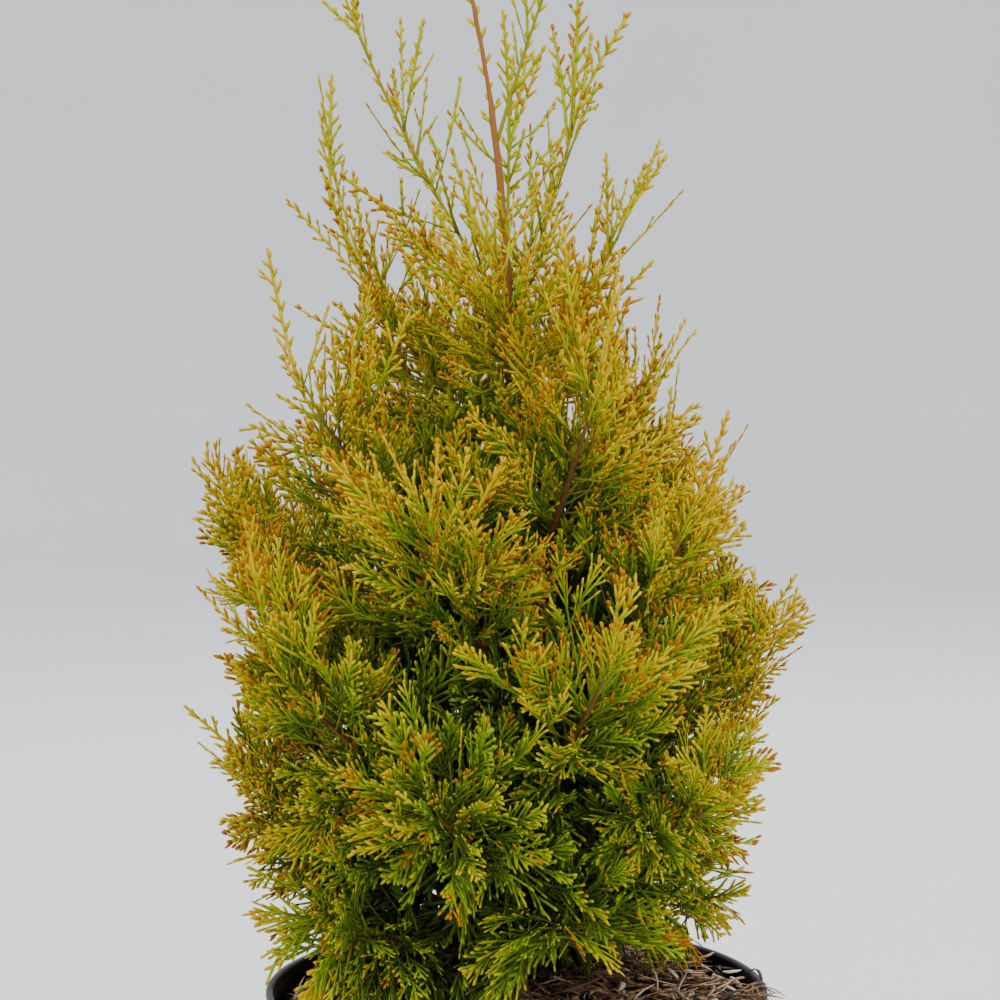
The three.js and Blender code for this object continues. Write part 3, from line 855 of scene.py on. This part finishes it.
def pot_finish(colour):
    finish = Finish("black_pot_plastic", Specular_IOR_Level=0.2)
    cloudy = finish.noise(0.035, 4)
    speck = finish.between(finish.noise(0.0022, 5, 0.7), 0.60, 0.74)
    height = finish.height()
    dusty = (1 - finish.between(height, 0.002, 0.05)) * 0.55 + finish.between(height, 0.150, 0.180) * 0.35
    dusty = dusty * finish.between(cloudy, 0.35, 0.68)
    finish.set("Base Color", finish.mix(speck * 0.35 + dusty * 0.45, colour, POT_DUST))
    finish.set("Roughness", cloudy * 0.22 + dusty * 0.35 + 0.26)
    inputs = {"Vector": finish.place(), "Scale": 110.0, "Distortion": 0.6}
    rings = finish.node("ShaderNodeTexWave", {"bands_direction": "Z"}, inputs)
    finish.bump(rings * 0.25 + finish.noise(0.0011, 2) * 0.75, 0.16, 0.0006)
    return finish.material


def shaded(colour, factor):
    return tuple(min(1, factor * value) for value in colour)


def compost_finish(colour):
    finish = Finish("dark_compost", Roughness=0.95)
    crumbs = finish.noise(0.0045, 6, 0.7)
    dry = finish.between(crumbs, 0.42, 0.72) * finish.noise(0.03, 3) * 1.3
    finish.set("Base Color", finish.mix(dry, colour, shaded(colour, 2.6)))
    finish.bump(crumbs + finish.noise(0.0015, 4) * 0.5, 0.9, 0.003)
    return finish.material


def mulch_finish(name, colour):
    finish = Finish(name, Specular_IOR_Level=0.25)
    strands, patches = finish.noise(0.0016, 5, 0.7), finish.noise(0.010, 3)
    share = finish.between(strands * 0.6 + patches * 0.4, 0.36, 0.64)
    finish.set("Base Color", finish.mix(share, shaded(colour, 0.42), shaded(colour, 1.5)))
    finish.set("Roughness", patches * 0.25 + 0.66)
    finish.bump(strands, 0.7, 0.0008)
    return finish.material


def bark_finish(name, colour, ridge):
    finish = Finish(name, Specular_IOR_Level=0.3)
    strips = finish.noise(0.0026, 5, 0.65, (1, 1, 0.16))
    flakes = finish.noise(0.006, 4, 0.6, (1, 1, 0.35))
    grey = tuple(0.6 * value + 0.10 for value in colour)
    young = finish.between(finish.height(), 0.42, 0.54)
    old_wood = finish.mix(finish.between(strips, 0.36, 0.62), shaded(colour, 0.35), colour)
    wood = finish.mix(young, old_wood, YOUNG_BARK)
    finish.set("Base Color", finish.mix(finish.between(flakes, 0.55, 0.75) * (1 - young) * 0.6, wood, grey))
    finish.set("Roughness", flakes * 0.2 + 0.62)
    finish.bump(strips * 0.8 + flakes * 0.4, 0.8, ridge)
    return finish.material


def leaf_finish(name, colour):
    return Finish(name, Roughness=0.62, Specular_IOR_Level=0.06, Base_Color=(*colour, 1)).material


# Pieces
def start_modelling():
    if bpy.context.object and bpy.context.object.mode != "OBJECT":
        bpy.ops.object.mode_set(mode="OBJECT")
    bpy.ops.object.select_all(action="DESELECT")


def select_only(*pieces):
    start_modelling()
    for piece in pieces:
        piece.select_set(True)
    bpy.context.view_layer.objects.active = pieces[0]


def joined(*pieces):
    select_only(*pieces)
    bpy.ops.object.join()
    return bpy.context.object


def edit_all(mode):
    bpy.ops.object.mode_set(mode="EDIT")
    bpy.ops.mesh.select_mode(type=mode)
    bpy.ops.mesh.select_all(action="SELECT")


def finish_piece(piece, name, material, slot, nodes):
    piece.name = piece.data.name = name
    piece.data.materials.clear()
    piece.data.materials.append(material)
    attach(piece, "root")
    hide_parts(*nodes)


# Made as by hand: a circle, extruded and resized from ring to ring, each a middle and a radius.
def raised_shape(rings, sides, filled=True):
    start_modelling()
    middle, radius = rings[0]
    middle = Vector(middle) * MM
    fill = "NGON" if filled else "NOTHING"
    bpy.ops.mesh.primitive_circle_add(vertices=sides, radius=radius * MM, fill_type=fill, location=middle)
    bpy.ops.object.transform_apply(location=True, rotation=True, scale=True)
    edit_all("FACE" if filled else "EDGE")
    for next_middle, next_radius in rings[1:]:
        next_middle = Vector(next_middle) * MM
        bpy.ops.mesh.extrude_region_move(TRANSFORM_OT_translate={"value": next_middle - middle})
        share = next_radius / radius
        bpy.ops.transform.resize(value=(share, share, 1), center_override=next_middle)
        middle, radius = next_middle, next_radius
    bpy.ops.mesh.select_all(action="SELECT")
    bpy.ops.mesh.normals_make_consistent(inside=False)
    bpy.ops.object.mode_set(mode="OBJECT")
    return bpy.context.object


def turned_shape(profile, sides, filled=True):
    return raised_shape([((0, 0, height), radius) for radius, height in profile], sides, filled)


def apply_modifiers(piece):
    select_only(piece)
    for modifier in list(piece.modifiers):
        bpy.ops.object.modifier_apply(modifier=modifier.name)


def pot_inside(height):
    if height > POT.band_foot:
        return POT.shoulder + POT.step - POT.wall
    return POT.foot + (POT.shoulder - POT.foot) * height / POT.band_foot - POT.wall


def colour_setting(name, description, default):
    return FloatVectorProperty(
        name=name, description=description, subtype="COLOR", size=3, min=0, max=1, default=default
    )


def length_setting(name, description, default, low, high):
    return FloatProperty(
        name=name, description=description, unit="LENGTH", default=default * MM, min=low * MM, max=high * MM
    )


def number_setting(kind, name, description, default, low, high):
    return kind(name=name, description=description, default=default, min=low, max=high)


class ThujaPotSettings(bpy.types.PropertyGroup):
    colour: colour_setting("Pot colour", "Base colour of the moulded plastic", (0.0085, 0.0095, 0.0115))
    lip: length_setting("Lip", "How far the rolled lip is rounded", 1.9, 0.5, 4)


class ThujaMulchSettings(bpy.types.PropertyGroup):
    compost: colour_setting("Compost colour", "Base colour of the damp compost", (0.022, 0.013, 0.008))
    strands: number_setting(
        IntProperty, "Strands", "How many strands and chips of bark lie on the compost", 2500, 100, 4000
    )
    tuft: number_setting(IntProperty, "Tuft", "How many strands hang over the rim", 44, 0, 300)


class ThujaWoodSettings(bpy.types.PropertyGroup):
    bark: colour_setting("Bark colour", "Base colour of the trunk and boughs", (0.190, 0.085, 0.048))
    relief: length_setting("Relief", "Height of the strips of bark", 0.7, 0, 3)
    twig: colour_setting("Twig colour", "Base colour of the woody twigs", (0.200, 0.088, 0.035))
    young: colour_setting("Young twig colour", "Base colour of the young twigs", (0.225, 0.225, 0.016))


class ThujaFoliageSettings(bpy.types.PropertyGroup):
    frond_step: number_setting(
        FloatProperty, "Frond step", "Millimetres along a twig from one frond to the next", 8.0, 4, 40
    )
    shoot_step: number_setting(
        FloatProperty, "Shoot step", "Millimetres along a frond from one shoot to the next", 2.15, 2, 12
    )
    filling_rounds: number_setting(
        IntProperty, "Filling", "Rounds of smaller sprays that fill thin places", 18, 0, 30
    )
    crowding: number_setting(
        FloatProperty, "Crowding", "How crowded a place may be and still take a smaller spray", 3.7, 0, 20
    )
    scale_length: number_setting(
        FloatProperty, "Scale length", "Millimetres from one pair of leaf scales to the next", 5.0, 1.5, 8
    )
    deep: number_setting(
        FloatProperty, "Deep", "Shoots nearer in than this share of the reach are made plainer", 0.60, 0, 1
    )


class THUJA_OT_make_pot(bpy.types.Operator):
    """Turns the nursery pot with its band, rolled lip and drain holes"""

    bl_idname = "thuja.make_pot"
    bl_label = "Make the pot"

    def execute(self, context):
        settings = context.scene.thuja_pot
        pot = turned_shape(self.outside(settings.lip / MM) + self.inside(), POT.sides)
        drill = self.drill(context)
        cut = pot.modifiers.new("drains", "BOOLEAN")
        cut.operation, cut.object, cut.solver = "DIFFERENCE", drill, "EXACT"
        apply_modifiers(pot)
        bpy.data.objects.remove(drill)
        if len(pot.data.polygons) < POT.least_faces:
            raise RuntimeError("the pot's drain holes could not be cut")
        select_only(pot)
        bpy.ops.object.shade_smooth_by_angle(angle=math.radians(32))
        finish_piece(pot, "nursery_pot", pot_finish(settings.colour), "pot", ["pot"])
        return {"FINISHED"}

    # Up the outside from the foot, with the band and the rolled lip.
    def outside(self, lip):
        profile = [
            (POT.foot - POT.bevel, 0), (POT.foot - 0.9, 0.9), (POT.foot, POT.bevel),
            (POT.shoulder, POT.band_foot), (POT.shoulder + POT.step, POT.band_foot + 1.6),
            (POT.rim - 2 * POT.roll, POT.height - 5.2), (POT.rim - 0.8, POT.height - 5.0),
        ]
        for k in range(9):
            turn = math.radians(-30 + 26 * k)
            profile.append((POT.rim - lip + lip * math.cos(turn), POT.height - lip + lip * math.sin(turn)))
        return profile

    # Down the inside to the floor of the pot.
    def inside(self):
        heights = (POT.height - 4, POT.band_foot + 1, POT.band_foot)
        profile = [(pot_inside(height), height) for height in heights]
        return profile + [(POT.foot - POT.wall, POT.bevel + 0.4), (POT.foot - POT.bevel - POT.wall, POT.wall)]

    # One cylinder for each drain hole, all joined.
    def drill(self, context):
        start_modelling()
        cutters = []
        for k in range(POT.drains):
            turn = 2 * math.pi * (k + 0.5) / POT.drains
            place = (POT.drain_ring * MM * math.cos(turn), POT.drain_ring * MM * math.sin(turn), 0)
            bpy.ops.mesh.primitive_cylinder_add(
                vertices=20, radius=POT.drain_radius * MM, depth=8 * MM, location=place
            )
            cutters.append(context.object)
        return joined(*cutters)


# One strand or chip of bark for each row: a flat closed stick, bent a little.
def strand_tubes(places, ways, bends, lengths, widths, depths, rings=5):
    s = np.linspace(0, 1, rings)[None, :, None]
    along = ways[:, None] * ((s - 0.5) * lengths[:, None, None])
    centres = places[:, None] + along + bends[:, None] * (s - 0.5) ** 2
    ahead = units(np.gradient(centres, axis=1))
    side = units(np.cross(np.broadcast_to(UP, ahead.shape), ahead) + 1e-6)
    shape = curve(np.linspace(0, 1, rings), STRAND_SHAPE)[None]
    half_widths, half_depths = 0.5 * widths[:, None] * shape, 0.5 * depths[:, None] * shape
    return tubes(centres, side, np.cross(ahead, side), half_widths, half_depths)


def soil_level(points):
    azimuth = np.arctan2(points[:, 1], points[:, 0])
    far = np.hypot(points[:, 0], points[:, 1])
    return SOIL_TOP + 2.2 * np.sin(azimuth + 0.6) * np.clip(far / 60, 0, 1)


class THUJA_OT_fill_pot(bpy.types.Operator):
    """Fills the pot with compost and lays strands and chips of bark on it"""

    bl_idname = "thuja.fill_pot"
    bl_label = "Fill the pot"

    def execute(self, context):
        settings = context.scene.thuja_mulch
        finish_piece(self.bed(), "compost_bed", compost_finish(settings.compost), "compost", ["compost"])
        rng = np.random.default_rng(11)
        for name, colour, share in MULCH:
            batch = Batch()
            batch.add(self.heap(rng, int(settings.strands * share)))
            if name in ("dark_mulch", "red_mulch"):
                batch.add(self.tuft(rng, settings.tuft // 2))
            batch.finish(name, mulch_finish(name, colour), "compost", ["compost"])
        return {"FINISHED"}

    # The compost, with an uneven top that lies a little higher on one side.
    def bed(self):
        fit = math.cos(math.pi / 32)
        under_band = pot_inside(POT.band_foot) * fit
        profile = [
            ((POT.foot - POT.bevel - POT.wall) * fit - 2.4, POT.wall + 0.3),
            ((POT.foot - POT.wall) * fit - 1, 5),
            (under_band - 0.5, POT.band_foot - 1),
            (under_band - 0.6, SOIL_TOP - 3),
        ]
        profile += [(radius, SOIL_TOP) for radius in range(102, 8, -5)]
        bed = turned_shape(profile, 96)
        select_only(bed)
        edit_all("VERT")
        bpy.ops.mesh.select_all(action="DESELECT")
        bpy.ops.object.mode_set(mode="OBJECT")
        for vertex in bed.data.vertices:
            vertex.select = vertex.co.z > (SOIL_TOP - 1) * MM
        bpy.ops.object.mode_set(mode="EDIT")
        bpy.ops.transform.vertex_random(offset=2.4 * MM, uniform=0.5, normal=0.5, seed=7)
        bpy.ops.mesh.select_all(action="DESELECT")
        bpy.ops.object.mode_set(mode="OBJECT")
        level = soil_level(np.array([vertex.co for vertex in bed.data.vertices]) / MM)
        for vertex, height in zip(bed.data.vertices, level):
            if vertex.co.z > (SOIL_TOP - 2.9) * MM:
                vertex.co.z += (height - SOIL_TOP) * MM
        bpy.ops.object.shade_smooth()
        return bed

    # Strands and chips on the compost, heaped up a little towards one side.
    def heap(self, rng, count):
        far = MULCH_REACH * np.sqrt(rng.uniform(0.002, 1, count))
        azimuth = rng.uniform(0, 2 * np.pi, count)
        places = np.stack([far * np.cos(azimuth), far * np.sin(azimuth), 0 * far], axis=1)
        chips = rng.random(count) < CHIP_SHARE
        lengths = np.where(chips, rng.uniform(5, 13, count), rng.uniform(8, 28, count))
        widths = np.where(chips, rng.uniform(2.2, 5, count), rng.uniform(0.6, 1.7, count))
        depths = np.where(chips, rng.uniform(0.8, 1.8, count), rng.uniform(0.4, 0.9, count))
        turn = rng.uniform(0, 2 * np.pi, count)
        tilt = rng.normal(0, 0.2, count)
        ways = np.stack([np.cos(turn) * np.cos(tilt), np.sin(turn) * np.cos(tilt), np.sin(tilt)], axis=1)
        raised = rng.uniform(0.2, 1, count) * (5.6 + 4.2 * np.cos(azimuth - 0.5))
        places[:, 2] = soil_level(places) + raised + 0.4 * lengths * np.abs(np.sin(tilt))
        bends = rng.normal(0, 1, (count, 3)) * lengths[:, None] * [0.35, 0.35, 0.12]
        reach = np.hypot(places[:, 0], places[:, 1]) + 0.5 * lengths * np.abs(np.cos(turn - azimuth))
        keep = reach < MULCH_EDGE
        return strand_tubes(*(row[keep] for row in (places, ways, bends, lengths, widths, depths)))

    # Strands that hang over the rim, front right.
    def tuft(self, rng, count):
        azimuth = np.radians(rng.normal(-17, 7, count))
        out = np.stack([np.cos(azimuth), np.sin(azimuth), 0 * azimuth], axis=1)
        lengths = rng.uniform(9, 26, count)
        places = out * rng.uniform(105, 114, count)[:, None]
        places[:, 2] = POT.height + rng.uniform(0, 4.5, count)
        ways = units(out + rng.normal(0, 0.55, (count, 3)) * [1, 1, 0.4])
        bends = np.stack([0 * lengths, 0 * lengths, -lengths * rng.uniform(0.3, 1.5, count)], axis=1)
        bends += rng.normal(0, 4.0, (count, 3))
        widths, depths = rng.uniform(0.8, 2.2, count), rng.uniform(0.5, 1.2, count)
        return strand_tubes(places, ways, bends, lengths, widths, depths, 7)


class THUJA_OT_grow_wood(bpy.types.Operator):
    """Grows the trunk, the boughs, the stems and the twigs"""

    bl_idname = "thuja.grow_wood"
    bl_label = "Grow the wood"

    def execute(self, context):
        settings = context.scene.thuja_wood
        limbs, twigs, _ = plant()
        bark = bark_finish("fibrous_bark", settings.bark, 0.0012)
        heights = [0.3 + (TRUNK.height - 0.3) * (k / 110) ** 1.2 for k in range(111)]
        trunk = raised_shape([(trunk_point(height), trunk_radius(height)) for height in heights], 28)
        self.raise_bark(trunk, settings.relief)
        finish_piece(trunk, "trunk_bark", bark, "bark", ["trunk"])
        carried = [limb for limb in limbs if limb.bare]
        boughs = joined(*(self.bough(context, limb) for limb in carried))
        self.raise_bark(boughs, settings.relief * 0.6)
        finish_piece(boughs, "bough_bark", bark, "bark", [f"bough_{limb.name}" for limb in carried])
        woody, young = self.twigs(twigs)
        woody.finish("woody_twigs", leaf_finish("woody_twig", settings.twig), "bark")
        young.finish("young_twigs", leaf_finish("young_twig", settings.young), "bark")
        return {"FINISHED"}

    # Stems and twigs as tubes: the low stems are woody, the others young.
    def twigs(self, twigs):
        woody, young = Batch(), Batch()
        for path, radii, mass in twigs:
            old = radii[0] > YOUNG_STEM_RADIUS and path[-1][2] - SOIL_TOP < WOODY_BELOW
            ahead = units(np.gradient(path[None], axis=1))
            start = UP if abs(ahead[0, 0, 2]) < 0.8 else np.array([1.0, 0, 0])
            side = units(np.cross(np.broadcast_to(start, ahead.shape), ahead))
            corners = 5 if len(path) > 4 else 3
            shape = tubes(path[None], side, np.cross(ahead, side), radii[None], radii[None], corners)
            (woody if old else young).add(shape, [mass])
        return woody, young

    # A bough along its bent axis, from the trunk to where its mass begins.
    def bough(self, context, limb):
        start_modelling()
        bpy.ops.curve.primitive_bezier_curve_add(location=(0, 0, 0))
        bough = context.object
        first, last = limb.foot, limb.point(limb.bare)
        control = limb.foot + (limb.bend - limb.foot) * limb.bare
        for k, place in enumerate((first, last)):
            end = bough.data.splines[0].bezier_points[k]
            end.handle_left_type = end.handle_right_type = "FREE"
            end.co = Vector(place) * MM
            inner = Vector(place + (control - place) * 2 / 3) * MM
            outer = Vector(place - (control - place) * 2 / 3) * MM
            end.handle_left, end.handle_right = (inner, outer) if k else (outer, inner)
            end.radius = BOUGH_RADIUS[k]
        bough.data.resolution_u = 26
        bough.data.bevel_depth = MM
        bough.data.bevel_resolution = 6
        bough.data.use_fill_caps = True
        select_only(bough)
        bpy.ops.object.convert(target="MESH")
        return context.object

    # Strips of bark: a noise that an upright empty draws out along the limb moves the surface.
    def raise_bark(self, piece, height):
        start_modelling()
        bpy.ops.object.empty_add(location=(0, 0, 0))
        grain = bpy.context.object
        grain.scale = (1, 1, 7)
        bpy.context.view_layer.update()
        strips = bpy.data.textures.new("bark_strips", "CLOUDS")
        strips.noise_scale = 0.0034
        strips.noise_depth = 2
        relief = piece.modifiers.new("relief", "DISPLACE")
        relief.texture, relief.texture_coords, relief.texture_coords_object = strips, "OBJECT", grain
        relief.strength, relief.mid_level = height * 2, 0.5
        apply_modifiers(piece)
        bpy.ops.object.shade_smooth()
        bpy.data.objects.remove(grain)


# How sunny each shoot is: more with height, towards the outline and by the luck of its frond; painted light
# low left and right, painted shade low front.
def sun_score(g, tips, height, outward):
    score = 0.80 * ramp(height, 0.12, 0.62) + 0.12 * ramp(height, 0.45, 0.2)
    score += (0.62 - 0.34 * np.clip(height, 0, 1)) * ramp(outward, 0.35, 0.6)
    score += 0.58 * (g.lucks - 0.5) + 0.44 * (g.ages - 0.55)
    # Painted light on the low left and low right and painted shade on the low front: sides of the plant
    # painted lighter or darker as light would fall on them.
    painted_light_low_left = np.clip(-tips[:, 0] / 80 - 0.5, 0, 1) * np.clip((0.34 - height) / 0.1, 0, 1)
    painted_shade_low_front = np.clip(-tips[:, 1] / 90 - 0.3, 0, 1) * np.clip((0.57 - height) / 0.2, 0, 1)
    painted_light_low_right = np.clip(tips[:, 0] / 80 - 0.3, -0.4, 1) * np.clip((0.6 - height) / 0.2, 0, 1)
    score += 0.15 * painted_light_low_left
    score -= 0.18 * painted_shade_low_front
    score += 0.08 * painted_light_low_right
    score *= np.clip(0.5 + outward + 0.75 * np.clip(height - 0.3, 0, 1), 0.5, 1)
    return np.minimum(score, curve(height, TOP_SCORE))


class THUJA_OT_grow_foliage(bpy.types.Operator):
    """Grows the scaly shoots of every mass and deals out their colours by frond"""

    bl_idname = "thuja.grow_foliage"
    bl_label = "Grow the foliage"

    def execute(self, context):
        settings = context.scene.thuja_foliage
        g = SimpleNamespace(**plant()[2])
        tips = g.roots + g.ways * (g.lengths * 0.8)[:, None]
        height = (tips[:, 2] - SOIL_TOP) / TRUNK.height
        outward = np.hypot(tips[:, 0], tips[:, 1]) / np.maximum(20, outline_reach(tips))
        score = sun_score(g, tips, height, outward)
        tone = np.digitize(score, TONE_STEPS)
        coloured = (g.tip_lucks < curve(height, COLOURED_TIPS)) & (score > 0.52) & (outward > 0.45)
        tip_tone = tone + np.where((g.tip_lucks > 0.55) & (outward > 0.6), 4, 2)
        tip_tone = np.minimum(tip_tone, OCHRE - 1)
        tip_tone = np.where(coloured, np.where(g.tip_lucks < 0.25, AMBER, OCHRE), tip_tone)
        deep = outward < settings.deep * curve(height, DEEP_BY_HEIGHT)
        g.widths = np.where(deep, g.widths * curve(outward, DEEP_WIDENING), g.widths)
        fewest = np.where(g.lengths < 6.5, 1, 2)
        scales = np.clip(np.round(g.lengths / settings.scale_length), fewest, MOST_SCALES).astype(int)
        batches = [Batch() for _ in TONES]

        def add(level, picked, along, width):
            pick = np.flatnonzero(picked)
            if len(pick):
                batches[level].add(shoot_tubes(g, pick, along, width), set(g.masses[pick]))

        for level, batch in enumerate(batches):
            here, here_at_tip = tone == level, tip_tone == level
            add(level, here & deep, [0, 1.0], [1.05, 0.55])
            for count in range(1, MOST_SCALES + 1):
                sized = ~deep & (scales == count)
                add(level, sized & here & ~g.tipped, *scale_rings(count, 1.0))
                for ends, kind in ((1, coloured | (count < 4)), (2, ~coloured & (count >= 4))):
                    start = (count - ends) / count if count < 2 or ends > 1 else 1 - 0.6 / count
                    group = sized & g.tipped & kind
                    if count > 1:
                        add(level, group & here, *scale_rings(count - ends, start))
                    along = np.array([0, 0.72, 1.0] if ends == 1 else [0, 0.33, 0.52, 0.88, 1.0])
                    width = [0.82, 1.15, 0.58] if ends == 1 else [0.76, 1.0, 0.80, 1.0, 0.46]
                    add(level, group & here_at_tip, start + (1 - start) * along, width)
            if batch.size:
                name, colour = TONES[level]
                slot = "green_foliage" if level < len(GREENS) else "gold_foliage"
                batch.finish(name, leaf_finish(name, colour), slot)
        return {"FINISHED"}


class THUJA_OT_set_stage(bpy.types.Operator):
    """Sets a pale floor that turns up into a wall all round, soft lights and the camera"""

    bl_idname = "thuja.set_stage"
    bl_label = "Set the stage"

    def execute(self, context):
        self.floor()
        self.lights(context)
        bpy.ops.object.camera_add(location=CAMERA.place, rotation=(math.radians(CAMERA.tilt), 0, 0))
        camera = context.object
        camera.name = "photo_camera"
        camera.data.sensor_width, camera.data.lens = CAMERA.sensor, CAMERA.lens
        camera.data.clip_start = 0.01
        context.scene.camera = camera
        return {"FINISHED"}

    def floor(self):
        wall = turned_shape(FLOOR, 96, filled=False)
        floor = joined(wall, turned_shape(FLOOR[:1], 96))
        edit_all("EDGE")
        bpy.ops.mesh.remove_doubles(threshold=0.0005)
        bpy.ops.mesh.normals_make_consistent(inside=True)
        bpy.ops.object.mode_set(mode="OBJECT")
        bpy.ops.object.shade_smooth()
        floor.name = "studio_floor"
        finish = Finish("pale_floor", Roughness=0.9, Specular_IOR_Level=0.1)
        finish.set("Base Color", finish.mix(finish.noise(0.6, 2), (0.60, 0.60, 0.60), (0.66, 0.66, 0.655)))
        floor.data.materials.append(finish.material)
        floor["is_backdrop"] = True

    def lights(self, context):
        world = bpy.data.worlds.new("soft_sky")
        context.scene.world = world
        world.use_nodes = True
        background = world.node_tree.nodes["Background"]
        background.inputs[0].default_value, background.inputs[1].default_value = SKY, SKY_STRENGTH
        for name, place, size, power, colour in LIGHTS:
            start_modelling()
            bpy.ops.object.light_add(type="AREA", location=place)
            light = context.object
            light.name = name
            light.data.size, light.data.energy, light.data.color = size, power, colour
            light.rotation_euler = (Vector(LIT_POINT) - Vector(place)).to_track_quat("-Z", "Y").to_euler()


class THUJA_PT_panel(bpy.types.Panel):
    """Lists the steps that make the plant"""

    bl_label = "Potted thuja"
    bl_idname = "THUJA_PT_panel"
    bl_space_type = "VIEW_3D"
    bl_region_type = "UI"
    bl_category = "Thuja"

    def draw(self, context):
        for operator, group in STEPS:
            box = self.layout.box()
            settings = getattr(context.scene, group) if group else None
            for name in settings.__annotations__ if settings else ():
                box.prop(settings, name)
            box.operator(operator.bl_idname)


STEPS = (
    (THUJA_OT_set_stage, None),
    (THUJA_OT_make_pot, "thuja_pot"),
    (THUJA_OT_fill_pot, "thuja_mulch"),
    (THUJA_OT_grow_wood, "thuja_wood"),
    (THUJA_OT_grow_foliage, "thuja_foliage"),
)
GROUPS = {
    "thuja_pot": ThujaPotSettings, "thuja_mulch": ThujaMulchSettings,
    "thuja_wood": ThujaWoodSettings, "thuja_foliage": ThujaFoliageSettings,
}
CLASSES = (*GROUPS.values(), *(operator for operator, _ in STEPS), THUJA_PT_panel)


def register():
    for cls in CLASSES:
        bpy.utils.register_class(cls)
    for name, group in GROUPS.items():
        setattr(bpy.types.Scene, name, PointerProperty(type=group))


def unregister():
    for name in GROUPS:
        delattr(bpy.types.Scene, name)
    for cls in reversed(CLASSES):
        bpy.utils.unregister_class(cls)


def main():
    register()
    bpy.ops.thuja.set_stage()
    bpy.ops.thuja.make_pot()
    bpy.ops.thuja.fill_pot()
    bpy.ops.thuja.grow_wood()
    bpy.ops.thuja.grow_foliage()
    plain = lambda box: [[float(v) for v in corner] for corner in box]
    {"cad": plain(CAD_BOX), "visual": plain(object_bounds())}


if __name__ == "__main__":
    main()
